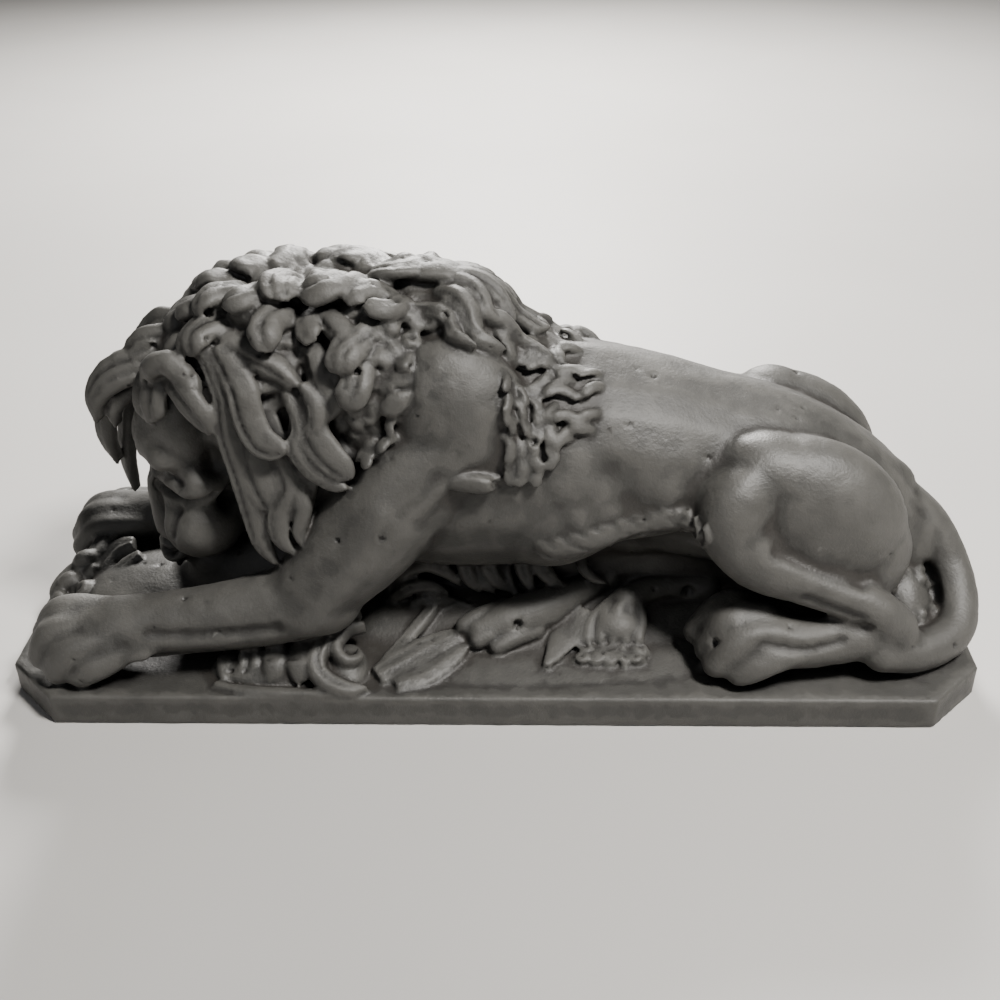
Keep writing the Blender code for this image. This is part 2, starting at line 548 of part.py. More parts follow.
def mane_top(coat):
    """The crown's tufts in steps, then long smooth locks that fall back over the shoulders."""
    for x, y, z, size, turn, strands, bend in (
            (-60.5, -1.5, 70, (4.4, 3.6, 3.2), -40, 2, 0.6), (-54.5, -2.5, 72.5, (4, 2.9, 3), -60, 2, -0.5),
            (-51, 1.5, 76, (5.2, 5.4, 3.2), 20, 3, 0.4), (-60, 5, 69, (4.6, 4, 3), 20, 2, -0.5),
            (-42, 1, 79, (4.6, 5.4, 2.8), 10, 3, 0.5), (-33, -1.5, 79, (5.2, 6, 3), -25, 3, -0.5),
            (-31, 5.5, 79.5, (4.6, 5.4, 3), 15, 3, 0.4), (-22, 2, 79.5, (4.8, 5, 2.6), -10, 2, 0.6)):
        coat.tuft((x, y, z), size, turn, strands, bend)
    for side in (NEAR, FAR):
        for width, blunt, path in (
                (6.4, 4, [(-16, 2, 79), (-11, 2, 79), (-7, 3, 78), (-3, 4, 76), (-1, 6, 73.5), (0, 8, 71),
                          (4, 9, 69)]),
                (6, 4, [(-14, 5.5, 77), (-9, 6, 77), (-5, 8, 75), (-3, 10, 73), (-2, 12.5, 71),
                        (0, 14, 69), (4, 14, 66)]),
                (7, 4, [(-9, 0, 79), (-3, 0.5, 78.5), (2, 1.5, 76), (4.5, 3, 73), (5.5, 5, 69)]),
                (4.4, 3, [(-15, 9, 75.5), (-11, 10.5, 75), (-7, 12.5, 73), (-5, 15.5, 70), (-2, 17, 67.5)]),
                (4, 3, [(1, 8, 74), (6, 8, 70), (9, 8, 66), (13, 9, 63)])):
            coat.lock([(x, y * side, z) for x, y, z in path], width, 3.8, 1, rise=0.8, blunt=blunt)


def shoulder_fringe(coat):
    """Short comma-like tufts behind the shoulder, in a pointed patch below the end of the mane."""
    chance = random.Random(3)
    ends = (13, 15, 17, 18.5, 20, 20.5, 20, 18, 15, 12.5, 10.5, 9)
    for side in (NEAR, FAR):
        for row, last in enumerate(ends):
            z = 67 - 2.1 * row
            first = 2.6 + 0.2 * row + chance.uniform(-0.5, 0.5)
            count = max(1, round((last - first) / 2.7))
            for k in range(count + 1):
                x = first + (last - first) * k / count
                place = coat.flank(x, z + chance.uniform(-0.6, 0.6), side)
                size = chance.uniform(1.25, 1.7) * (1.15 - 0.02 * row)
                coat.comma(place, size, chance.uniform(-80, 80), chance.choice((-1, 1)))


def belly_fur(coat):
    """The shaggy lower edge of the flank, combed down towards the tail, and the strands in the groin."""
    chance = random.Random(9)
    for side in (NEAR, FAR):
        for k in range(10):
            x, z = 11 + 2.9 * k + chance.uniform(-0.5, 0.5), 28.2 + 0.75 * k
            line = [(x, z), (x + 2, z - 1.6), (x + 4.2, z - 2.4 - chance.uniform(0, 0.8))]
            path = [coat.flank(u, w, side, 1.1 * i - 0.8) for i, (u, w) in enumerate(line)]
            coat.lock(path, chance.uniform(2.2, 3), 1.5, 1, rise=0, blunt=2, free=True)
        for k in range(7):
            x, z = 8 + 3.8 * k, 31.5 + 0.9 * k
            reach = chance.uniform(0.9, 1.15)
            line = [(x, z), (x + 3 * reach, z - 2.2), (x + 6 * reach, z - 3.6), (x + 9 * reach, z - 4.4)]
            path = [coat.flank(u, w, side, lift) for (u, w), lift in zip(line, (-1.5, 0.1, 1, 1.5))]
            coat.lock(path, chance.uniform(4.6, 5.8), 1.7, 3, rise=0, blunt=2.4, free=True, split=1)
        for k in range(4):
            x = 37.5 + 1.4 * k
            path = [coat.flank(x + sway, z, side, 0.4) for sway, z in ((0, 34.5), (0.6, 32), (-0.2, 29.5))]
            coat.lock(path, 1.8, 1.2, 1, rise=0, blunt=2, free=True)


def cloth(coat):
    """The folded cloth under the foreleg and the belly, and the pole and leaf that lie on it."""
    coat.clay.ball((-45.5, -26.5, -0.5), (12.5, 6, 4))
    for x, width, high, end in ((-54, 4.6, 2.6, -31), (-50.4, 2.2, 4.4, -30.5), (-47.8, 2.4, 4.8, -30.5),
                                (-43.8, 5, 5.4, -31.6), (-38.2, 6.4, 6, -32.2)):
        line = [(x, -24, high), (x - 0.3, -27, high - 0.7), (x - 0.1, end + 2, high - 2),
                (x - 0.6, end, 0.6)]
        coat.lock(line, width, 1.6, 1, rise=0, blunt=9, free=True)
    flange = [(-56, -32, 0.2), (-50, -33.6, 0.2), (-40, -34.4, 0.2), (-30, -34.6, 0.2), (-24, -34, 0.2)]
    coat.lock(flange, 2.6, 1, 1, rise=0, blunt=12, free=True)
    coat.clay.ball((-31, -26, 0), (6, 7.5, 3.4), (0, 0, 20))
    swirl = [(-27.5, -18.5, 8.5), (-32, -22, 7), (-35, -27.5, 4.6), (-34.5, -31.5, 2.4),
             (-29.5, -34, 0.8), (-24.5, -34, 0.5)]
    coat.lock(swirl, 4.6, 2.6, 2, rise=0, blunt=9, free=True, facing=(0.3, -0.3, 1))
    inner = [(-26, -21, 6.5), (-30, -22.5, 6), (-31.5, -26.5, 5), (-29.5, -29, 3.8), (-27, -27.5, 3.2),
             (-27.5, -25, 3)]
    coat.lock(inner, 3, 2.4, 1, rise=0, blunt=5, free=True, facing=(0.3, -0.3, 1))
    pole = [(-9.5, -8.5, 7.6), (-13, -14, 5.4), (-18, -21, 2.8), (-23.5, -29, 0.8)]
    coat.lock(pole, 3.2, 1.5, 2, rise=0, blunt=12, free=True, facing=(0, -0.3, 1))
    for width, path in ((7.5, [(-23, -30, 0.8), (-17.5, -26.5, 1.8), (-11.5, -22, 2.8),
                               (-5.5, -18.5, 3.4)]),
                        (5, [(-19, -32.5, 0.3), (-13, -29.5, 0.8), (-8, -25, 1.6), (-4.5, -21, 2)])):
        coat.lock(path, width, 1.7, 3, rise=0.3, blunt=4, free=True, facing=(0, -0.3, 1))
    for path in ([(-22, -8, 6.5), (-18.5, -8, 10.5), (-14, -8.5, 12.5), (-9.5, -9, 10.5),
                  (-6.5, -9.5, 7.5)],
                 [(-22, -9, 6), (-17.5, -10.5, 7.4), (-13, -10, 8.4), (-9.5, -9.5, 6.6),
                  (-5.5, -11.5, 6.4), (-2.5, -13, 4.6)],
                 [(-17, -8.5, 9.5), (-13, -9.5, 10), (-9, -10, 8), (-4, -10.5, 8)]):
        coat.lock(path, 4, 2.4, 2, rise=0, blunt=7, free=True, facing=(0, -0.8, 0.6))
    for k, (sway, low) in enumerate(((1.5, 6.5), (-1.2, 8), (1.8, 7), (-1, 8.5), (2.2, 7.5), (1.4, 9),
                                     (-1.2, 9), (1.5, 9.5))):
        x = -7.5 + 3.5 * k
        line = [(x - 1, -8, 15.5), (x + sway, -9, 12.5), (x + 0.6 - 0.3 * sway, -10, 10),
                (x + 2.4 + 0.5 * sway, -11, low)]
        coat.lock(line, 3.3, 2.2, 1, rise=0, blunt=4, free=True, facing=(0, -0.8, 0.6))


def trophies(coat):
    """A rolled cloth, a tassel on its cord before a corner of cloth, and a broken shaft."""
    coat.clay.limb([(-2, -18.5, 3.6, 3.8), (5, -16.5, 5.4, 4.6), (12, -13.5, 6.6, 4.4),
                    (19, -9.5, 8, 3.2), (24, -6, 8.6, 2.8)])
    coat.clay.ball((25.5, -5.5, 9), (2.6, 3.4, 3.4))
    for x, y, z, size in ((-5.5, -18.5, 5.2, 2.1), (-2.5, -21.5, 3.6, 2.1), (1.5, -22.5, 2.6, 1.9)):
        coat.clay.limb([(x + 8, y + 4, z + 1.6, size), (x + 3, y + 1.4, z + 1, size),
                        (x, y, z, size * 0.9)])
    coat.clay.limb([(46, -7, 7, 2.9), (39, -7.5, 7.6, 2.7), (33, -9.5, 7.8, 2.8), (28.5, -12.5, 7, 3.4)])
    coat.clay.ball((26.5, -16, 4), (5.6, 5.4, 4))
    for k in range(5):
        spread = (k - 2) * 2.5
        coat.clay.limb([(28.5 + spread * 0.5, -12.5, 8.2, 1.1),
                        (26.5 + spread, -16.5, 7.2 - 0.35 * abs(spread), 1.35),
                        (25.5 + spread * 1.05, -20.5, 3.4, 1.3)])
        coat.curl((25.5 + spread * 1.1, -22.5, 2.6), 1.8, 60 * k)
        coat.curl((24.6 + spread * 1.1, -25, 1), 1.7, 80 * k)
    corner = [coat.floor(x, y, 0.8, 10) for x, y in ((19.5, -14), (15.5, -20), (11.5, -27.5))]
    coat.lock(corner, 11, 1.1, 1, rise=0, blunt=1.4, free=True, facing=(0, 0, 1))
    coat.clay.limb([(-8, -24, 43.6, 1.6), (-3, -25, 43.2, 2), (1.4, -25.2, 42.6, 2.1)])
    coat.lock([(-7, -25, 46), (-1, -25, 45.6), (6, -24.6, 44.2), (10, -24, 44.4)], 3, 1.5, 1, rise=0.4,
              blunt=2)


def front_cloth(coat):
    """The crumpled cloth that lies between the forepaws, before the face."""
    for width, thickness, path in (
            (5, 1.6, [(-83, 16, 8.4), (-86.5, 15.5, 8.2), (-89.5, 11.5, 7.4), (-91, 7, 6.6),
                      (-91.5, 3.5, 5)]),
            (6, 1.8, [(-82, 8, 8), (-86, 7.5, 6.6), (-88.5, 3.5, 4.4), (-89.5, -1, 2.4)]),
            (5, 1.5, [(-79, 3, 8.4), (-83, 1, 6), (-85.5, -3, 3.6), (-86.5, -7, 1.6)]),
            (5.4, 1.7, [(-91, 6, 4), (-94, 3, 4.6), (-97, -1, 3), (-98.5, -4.5, 1)])):
        coat.lock(path, width, thickness, 2, rise=0, blunt=6, free=True, facing=(-0.3, -0.3, 1))
    for x, y, z, size, start in ((-92.5, 4.5, 6, 2.6, 40), (-95, -0.5, 3.6, 2.4, 200),
                                 (-90, -3, 3, 2.2, 120), (-96.5, -4.5, 1.6, 2, 300)):
        coat.clay.ball((x, y, z), (size * 1.2, size * 0.9, size), (0, 0, start))
        coat.curl((x - 1, y - 1, z + 1), size, start)
    coat.clay.ball((-83, 0, 1), (9, 9, 5))


def rough_ground(coat):
    """The grit on the lump of earth inside the loop of the tail."""
    chance = random.Random(5)
    for k in range(40):
        x, z = chance.uniform(80, 92), chance.uniform(3, 14)
        place, out = coat.touch((x, -20 + 0.75 * z, z))
        size = chance.uniform(0.8, 1.4)
        coat.clay.ball(place - out * 0.3 * size, (size * 1.3, size, size))


def build_body():
    clay = Clay()
    torso(clay)
    hindquarters(clay)
    forelegs(clay)
    head(clay)
    mane_mass(clay)
    tail(clay)
    ground(clay)
    body = clay.to_object("lion")
    lay_skin(body, BODY_GRID, BODY_ROUNDS)
    model_muscles(body)
    return body


def carve(body, grid):
    """Lays the hair and the relief on the body and joins them to it under one skin."""
    coat = Coat(body)
    forehead_locks(coat)
    curtain(coat)
    mane_ground(coat)
    mane_sides(coat)
    mane_top(coat)
    shoulder_fringe(coat)
    belly_fur(coat)
    cloth(coat)
    trophies(coat)
    front_cloth(coat)
    rough_ground(coat)
    coat.clay.add(body.data.copy())
    bpy.data.objects.remove(body)
    carved = coat.clay.to_object("lion")
    lay_skin(carved, grid, CARVING_ROUNDS)
    model_face(carved, coat.surface)
    return carved


def lay_skin(obj, grid, rounds):
    """One closed skin over the object's forms, its joins softened."""
    skin = obj.modifiers.new("skin", "REMESH")
    skin.mode = "VOXEL"
    skin.voxel_size = grid / UNIT
    soften = obj.modifiers.new("soften", "SMOOTH")
    soften.iterations = rounds
    apply_modifiers(obj)


def apply_modifiers(obj):
    graph = bpy.context.evaluated_depsgraph_get()
    laid = bpy.data.meshes.new_from_object(obj.evaluated_get(graph))
    obj.modifiers.clear()
    old = obj.data
    obj.data = laid
    bpy.data.meshes.remove(old)


def make_plinth():
    """The block that the lion is cast on, its corners cut off and its upper rim a little worn."""
    shape = bmesh.new()
    size = Matrix.Diagonal((PLINTH_LENGTH, PLINTH_DEPTH, PLINTH_HEIGHT, 1))
    bmesh.ops.create_cube(shape, size=1, matrix=Matrix.Translation((0, 0, PLINTH_HEIGHT / 2)) @ size)
    upright = [e for e in shape.edges if abs(e.verts[0].co.z - e.verts[1].co.z) > PLINTH_HEIGHT / 2]
    bmesh.ops.bevel(shape, geom=upright, offset=CORNER_CUT, segments=1, affect="EDGES")
    rim = [e for e in shape.edges if min(v.co.z for v in e.verts) > PLINTH_HEIGHT / 2]
    bmesh.ops.bevel(shape, geom=rim, offset=PLINTH_EDGE, segments=1, affect="EDGES")
    data = bpy.data.meshes.new("plinth")
    shape.to_mesh(data)
    shape.free()
    plinth = bpy.data.objects.new("plinth", data)
    bpy.context.scene.collection.objects.link(plinth)
    return plinth


def stand_on_plinth(lion):
    """Puts the lion on the plinth's top and cuts off what would reach through the plinth."""
    lion.data.transform(Matrix.Translation((0, 0, PLINTH_HEIGHT)) @ Matrix.Scale(UNIT, 4))
    cut_flat(lion, PLINTH_HEIGHT / 2)


def cut_flat(lion, height):
    """Cuts off what lies below the height and closes the cut."""
    shape = bmesh.new()
    shape.from_mesh(lion.data)
    everything = [*shape.verts, *shape.edges, *shape.faces]
    bmesh.ops.bisect_plane(shape, geom=everything, plane_co=(0, 0, height), plane_no=(0, 0, -1),
                           clear_outer=True)
    keep_largest(shape)
    bmesh.ops.holes_fill(shape, edges=[e for e in shape.edges if e.is_boundary])
    bmesh.ops.triangulate(shape, faces=shape.faces)
    shape.to_mesh(lion.data)
    shape.free()


def keep_largest(shape):
    """Deletes every loose shell but the one with most faces."""
    unseen = set(shape.faces)
    shells = []
    while unseen:
        first = unseen.pop()
        shell, edge_of = [first], [first]
        while edge_of:
            for edge in edge_of.pop().edges:
                for face in edge.link_faces:
                    if face in unseen:
                        unseen.discard(face)
                        shell.append(face)
                        edge_of.append(face)
        shells.append(shell)
    shells.sort(key=len)
    for shell in shells[:-1]:
        bmesh.ops.delete(shape, geom=shell, context="FACES")


def concrete():
    material = bpy.data.materials.new("concrete")
    material.use_nodes = True
    surface = material.node_tree.nodes["Principled BSDF"]
    surface.inputs["Base Color"].default_value = (0.115, 0.112, 0.104, 1)
    surface.inputs["Roughness"].default_value = 0.75
    surface.inputs["Metallic"].default_value = 0
    return material


def main():
    for obj in list(bpy.data.objects):
        bpy.data.objects.remove(obj)
    lion = carve(build_body(), CARVING_GRID)
    stand_on_plinth(lion)
    thin = lion.modifiers.new("thin", "DECIMATE")
    thin.ratio = MOST_TRIANGLES / len(lion.data.polygons)
    apply_modifiers(lion)
    plinth = make_plinth()
    join = lion.modifiers.new("join", "BOOLEAN")
    join.operation = "UNION"
    join.object = plinth
    apply_modifiers(lion)
    bpy.data.objects.remove(plinth)
    lion.name = "lion_statue"
    lion.data.materials.clear()
    lion.data.materials.append(concrete())
    shelf = bpy.data.collections.new("lion statue")
    bpy.context.scene.collection.children.link(shelf)
    bpy.context.scene.collection.objects.unlink(lion)
    shelf.objects.link(lion)


if __name__ == "__main__":
    main()
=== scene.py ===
"""A concrete statue of a recumbent lion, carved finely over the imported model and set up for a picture.

The carving is a free form: its points are in parts of the lion's own length, LION_LENGTH / 200, counted
from the middle of the plinth's top face, with the head towards -X. Y is negative on the near side.
"""

import math
import random

import bmesh
import bpy
import numpy as np
from mathutils import Euler, Matrix, Vector, noise
from mathutils.bvhtree import BVHTree


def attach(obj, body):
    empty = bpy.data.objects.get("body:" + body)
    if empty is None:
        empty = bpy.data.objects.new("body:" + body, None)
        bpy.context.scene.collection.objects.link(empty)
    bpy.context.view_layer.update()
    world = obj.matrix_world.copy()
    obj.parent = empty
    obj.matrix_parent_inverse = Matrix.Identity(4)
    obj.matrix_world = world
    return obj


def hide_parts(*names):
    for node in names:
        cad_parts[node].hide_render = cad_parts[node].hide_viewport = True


# The plinth
PLINTH_LENGTH = 0.200
PLINTH_DEPTH = 0.072
PLINTH_HEIGHT = 0.007
CORNER_CUT = 0.011
PLINTH_EDGE = 0.0004

# The lion
LION_LENGTH = 0.200
UNIT = LION_LENGTH / 200

# The grid of the skin over the body and over its carving, and how often each is softened
BODY_GRID = 0.0009
BODY_ROUNDS = 6
CARVING_GRID = 0.00044
CARVING_ROUNDS = 1
MOST_TRIANGLES = 190000

# What the underside loses to a clean cut, in the lion's units
FOOT_WEAR = 0.05

# The way that hair falls, and how steeply the small flat tufts stand off the body
HAIR_FALL = Vector((-0.25, 0, -1))
SLAB_TILT = math.radians(24)

# The round hollows in hair, cloth and foot, each a place over the plinth's top and a radius
HOLLOWS = ((-53.1, -8, 72.1, 1.1), (-47.8, -8, 71.8, 1.0), (-43.2, -8, 73, 1.1), (-31.9, -15, 68.7, 1.3),
           (-8.5, -14, 74.6, 1.0), (5.7, -20.4, 7, 1.2), (42.1, -11.4, 8, 1.5), (43.9, -30, 9.9, 0.9),
           (-35.6, -19.5, 60, 1.0), (-24.4, -18.5, 65, 0.8), (2.2, -25.4, 43.6, 1.0), (9, -24, 52, 0.8))

# The mane's lowest height over the plinth's underside, and the air pits in it and all over
MANE_FOOT = 62
HAIR_PITS = 45
AIR_PITS = 170
PIT_RADII = (0.35, 0.4, 0.45, 0.5, 0.7)

# The rays that find how open each place of the surface is, in metres, and how often that is evened out;
# places that see little are painted dark, as shade
RAYS = 14
RAY_START = 0.0002
RAY_LENGTH = 0.009
OPEN_ROUNDS = 5

# How often the surface is smoothed to find its narrow hollows and then its broad ones, and their depths
NARROW_ROUNDS, NARROW_DEPTH = 4, 0.30e-3
BROAD_ROUNDS, BROAD_DEPTH = 24, 1.6e-3

# The head is turned towards the near side about an upright line through the neck
HEAD_TURN_DEGREES = 23
NECK = Vector((-50, 0, 0))
HEAD_PLACE = (Matrix.Translation(NECK) @ Matrix.Rotation(math.radians(HEAD_TURN_DEGREES), 4, "Z")
              @ Matrix.Translation(-NECK))
NEAR, FAR = -1, 1

# The colours of the concrete, and how high its grit stands, in metres
CEMENT = (0.029, 0.0285, 0.0262, 1)
PALE_CEMENT = (0.044, 0.043, 0.0395, 1)
MOTTLED_CEMENT = (0.054, 0.0525, 0.048, 1)
RUBBED_CEMENT = (0.098, 0.095, 0.087, 1)
# Dirt and painted shade, darkest in the narrow grooves and brown in the broad hollows
GROOVE_DIRT_AND_SHADE = (0.012, 0.011, 0.010, 1)
HOLLOW_DIRT_AND_SHADE = (0.020, 0.017, 0.014, 1)
# Painted shade: near-black where a place sees little of the sky
PAINTED_DEEP_SHADE = (0.004, 0.0035, 0.0035, 1)
SAND_GRAIN = (0.17, 0.165, 0.15, 1)
GRIT_DEPTH = 0.00022

# The floor and the light
FLOOR_REACH = 2.5
FLOOR_TONES = ((0.44, 0.43, 0.415, 1), (0.47, 0.46, 0.445, 1))
WARM_LIGHT = (1.0, 0.97, 0.93)
COOL_LIGHT = (0.95, 0.97, 1.0)
ROOM_COLOUR = (0.72, 0.74, 0.78, 1)
ROOM_STRENGTH = 0.045

# The camera that took the photograph, found from the plinth's corners
CAMERA_PLACE = (0.01051, -0.23285, 0.17454)
CAMERA_AHEAD = (-0.0321, 0.8519, -0.5227)
CAMERA_RIGHT = (0.9995, 0.0273, -0.0168)
CAMERA_FILM = 36
CAMERA_LENS = 46.0

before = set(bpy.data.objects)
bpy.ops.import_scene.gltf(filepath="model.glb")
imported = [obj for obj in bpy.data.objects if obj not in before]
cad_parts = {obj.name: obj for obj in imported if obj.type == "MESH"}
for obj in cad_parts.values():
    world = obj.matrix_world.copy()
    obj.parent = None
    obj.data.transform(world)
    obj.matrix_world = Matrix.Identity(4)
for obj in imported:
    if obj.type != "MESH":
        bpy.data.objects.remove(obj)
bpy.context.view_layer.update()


def new_mesh(name, shape):
    """A mesh of the shape, which is used up."""
    mesh = bpy.data.meshes.new(name)
    shape.to_mesh(mesh)
    shape.free()
    return mesh


def new_object(name, data):
    """An object in the scene."""
    made = bpy.data.objects.new(name, data)
    bpy.context.scene.collection.objects.link(made)
    return made


def surface_of(mesh):
    """The mesh's faces, in the form that rays and nearest places are looked for in."""
    shape = bmesh.new()
    shape.from_mesh(mesh)
    surface = BVHTree.FromBMesh(shape)
    shape.free()
    return surface


def places_of(obj):
    """The object's vertex places and normals, as arrays."""
    count = len(obj.data.vertices)
    places, ways = np.empty(count * 3), np.empty(count * 3)
    obj.data.vertices.foreach_get("co", places)
    obj.data.vertices.foreach_get("normal", ways)
    return places.reshape(-1, 3), ways.reshape(-1, 3)


def set_places(obj, places):
    """Moves the object's vertices to the places."""
    obj.data.vertices.foreach_set("co", places.ravel())
    obj.data.update()


class Clay:
    """Closed forms that overlap, collected in one mesh until a skin is laid over them."""

    def __init__(self):
        self.mesh = bmesh.new()
        self.unit_ball = bpy.data.meshes.new("unit ball")
        form = bmesh.new()
        bmesh.ops.create_icosphere(form, subdivisions=4, radius=1)
        form.to_mesh(self.unit_ball)
        for v in form.verts:
            v.co /= sum(abs(c) ** 3 for c in v.co) ** (1 / 3)
        self.unit_pebble = new_mesh("unit pebble", form)

    def add(self, mesh):
        self.mesh.from_mesh(mesh)
        bpy.data.meshes.remove(mesh)

    def ball(self, centre, radii, turn=(0, 0, 0)):
        """A round mass of three radii, turned about X, Y and Z by degrees."""
        angles = Euler([math.radians(a) for a in turn])
        form = self.unit_ball.copy()
        place = Matrix.Translation(Vector(centre)) @ angles.to_matrix().to_4x4()
        form.transform(place @ Matrix.Diagonal((*radii, 1)))
        self.add(form)

    def pair(self, centre, radii, turn=(0, 0, 0)):
        """The same ball on both sides of the lion's middle plane, given on the near side."""
        x, y, z = centre
        a, b, c = turn
        self.ball((x, y, z), radii, (a, b, c))
        self.ball((x, -y, z), radii, (-a, b, -c))

    def pebble(self, centre, radii, ahead, out):
        """A ball with fuller corners, its radii along the way ahead, across it and outwards."""
        side = out.cross(ahead).normalized()
        axes = Matrix((ahead, side, ahead.cross(side))).transposed()
        form = self.unit_pebble.copy()
        form.transform(Matrix.Translation(centre) @ axes.to_4x4() @ Matrix.Diagonal((*radii, 1)))
        self.add(form)

    def limb(self, points):
        """A round-ended tube along a smooth curve: each point is x, y, z and the tube's radius there."""
        stations = smooth_path(points, 8 * len(points))
        self.add(loft([circle_about(stations, i, 20) for i in range(len(stations))]))
        for x, y, z, radius in (stations[0][:4], stations[-1][:4]):
            self.ball((x, y, z), (radius,) * 3)

    def take(self, other):
        """Adds the forms of another lump of clay and uses it up."""
        self.add(new_mesh("lump", other.mesh))

    def to_object(self, name):
        """The collected forms as one object."""
        made = new_object(name, new_mesh(name, self.mesh))
        bpy.data.meshes.remove(self.unit_ball)
        bpy.data.meshes.remove(self.unit_pebble)
        return made


def smooth_path(points, steps):
    """Stations along a smooth line through the points, which may hold more numbers than x, y, z."""
    knots = np.array(points, float)
    ends = np.vstack([2 * knots[0] - knots[1], knots, 2 * knots[-1] - knots[-2]])
    stations = []
    for s in np.linspace(0, len(knots) - 1, steps):
        i = min(int(s), len(knots) - 2)
        t = s - i
        a, b, c, d = ends[i:i + 4]
        bend = (2 * a - 5 * b + 4 * c - d) * t * t + (3 * b - a - 3 * c + d) * t ** 3
        stations.append(0.5 * (2 * b + (c - a) * t + bend))
    return np.array(stations)


def along(stations, i):
    """The direction of the line at station i."""
    step = stations[min(i + 1, len(stations) - 1)][:3] - stations[max(i - 1, 0)][:3]
    return Vector(step).normalized()


def circle_about(stations, i, sides):
    """A ring of points around station i, as far from it as the station's fourth number."""
    x, y, z, radius = (float(v) for v in stations[i][:4])
    forward = along(stations, i)
    side = forward.cross(Vector((0.13, 0.17, 1))).normalized()
    up = side.cross(forward)
    turns = [2 * math.pi * k / sides for k in range(sides)]
    return [Vector((x, y, z)) + radius * (math.cos(a) * side + math.sin(a) * up) for a in turns]


def loft(rings):
    """A closed mesh through rings of equally many points, with a fan over each end."""
    shape = bmesh.new()
    made = [[shape.verts.new(point) for point in ring] for ring in rings]
    count = len(rings[0])
    for first, second in zip(made, made[1:]):
        for k in range(count):
            n = (k + 1) % count
            shape.faces.new((first[k], first[n], second[n], second[k]))
    for ring, turned in ((made[0], True), (made[-1], False)):
        middle = shape.verts.new(sum((v.co for v in ring), Vector()) / count)
        for k in range(count):
            n = (k + 1) % count
            shape.faces.new((ring[n], ring[k], middle) if turned else (ring[k], ring[n], middle))
    bmesh.ops.recalc_face_normals(shape, faces=shape.faces)
    return new_mesh("loft", shape)
def torso(clay):
    clay.limb([(-26, 0, 37, 21), (-12, 0, 37, 24), (2, 0, 37.5, 24.5), (16, 0, 37.5, 23.5),
               (30, 0, 36.5, 21.5), (43, 0, 34, 20), (55, 0, 31, 19.5), (67, 0, 26, 18.5),
               (78, 0, 20.5, 15.5), (86, 0, 17, 11)])
    clay.limb([(5, 0, 56, 6), (20, 0, 55, 6), (40, 0, 50, 5.5), (56, 0, 46, 5.5), (70, 0, 40, 5),
               (84, 0, 29, 5)])
    clay.pair((13, -10, 33), (21, 14, 16))
    clay.pair((-5, -14, 49), (15, 11, 20), (0, -14, 0))
    clay.pair((-15, -15, 36), (12, 10, 16), (0, 20, 0))
    clay.ball((26, 0, 23), (26, 14, 9), (0, -4, 0))


def hindquarters(clay):
    """Both haunches, the far one set a little further back, and the hind legs folded under them."""
    haunch = {NEAR: ((59, -15, 38), (16, 9, 9.5)), FAR: ((61, 15, 41.5), (9, 7, 7))}
    for side in (NEAR, FAR):
        clay.ball((65, 15 * side, 31), (20, 11, 15.5), (0, 30, 0))
        clay.ball(*haunch[side], (0, 20, 0))
        clay.ball((77, 15 * side, 20), (8, 8, 11.5), (0, 20, 0))
        hip = {NEAR: (54, 14.5, 38.5, 8.6), FAR: (61, 15, 36, 9)}
        leg = [hip[side], (48, 19, 36, 8.6), (48.5, 21, 30, 7.8), (54, 23, 25, 6.6), (62, 24, 21.5, 5.4),
               (70, 25, 18, 4.6), (78, 25.5, 14, 4.4), (82, 25, 10, 4.4)]
        foot = [(82, 25, 9, 4.6), (73, 26, 8.2, 5), (64, 27, 7.6, 5.2), (56, 27, 8, 6)]
        clay.limb(both_sides(leg, -side))
        clay.limb(both_sides(foot, -side))
        clay.ball((56, 25.5 * side, 7.6), (8, 6.5, 6.4))
        toes(clay, (((55, 20.5, 12), (47.5, 20.8, 12.4), (42.4, 21.2, 6), 3.1),
                    ((55, 24.6, 12.6), (48.5, 25.2, 11.8), (44.4, 25.8, 5), 3.2),
                    ((57, 28.4, 11), (50, 29.2, 9.4), (45.6, 29.8, 4.2), 3.2),
                    ((60, 30.6, 7.6), (54, 31.6, 5.6), (50.4, 31.8, 3.4), 3)), -side)


def toes(clay, sets, side):
    """Toes side by side, each from its root over its knuckle to its tip, and its radius."""
    for root, knuckle, tip, radius in sets:
        points = [(*root, radius * 0.95), (*knuckle, radius * 1.08), (*tip, radius * 0.92)]
        clay.limb(both_sides(points, side))


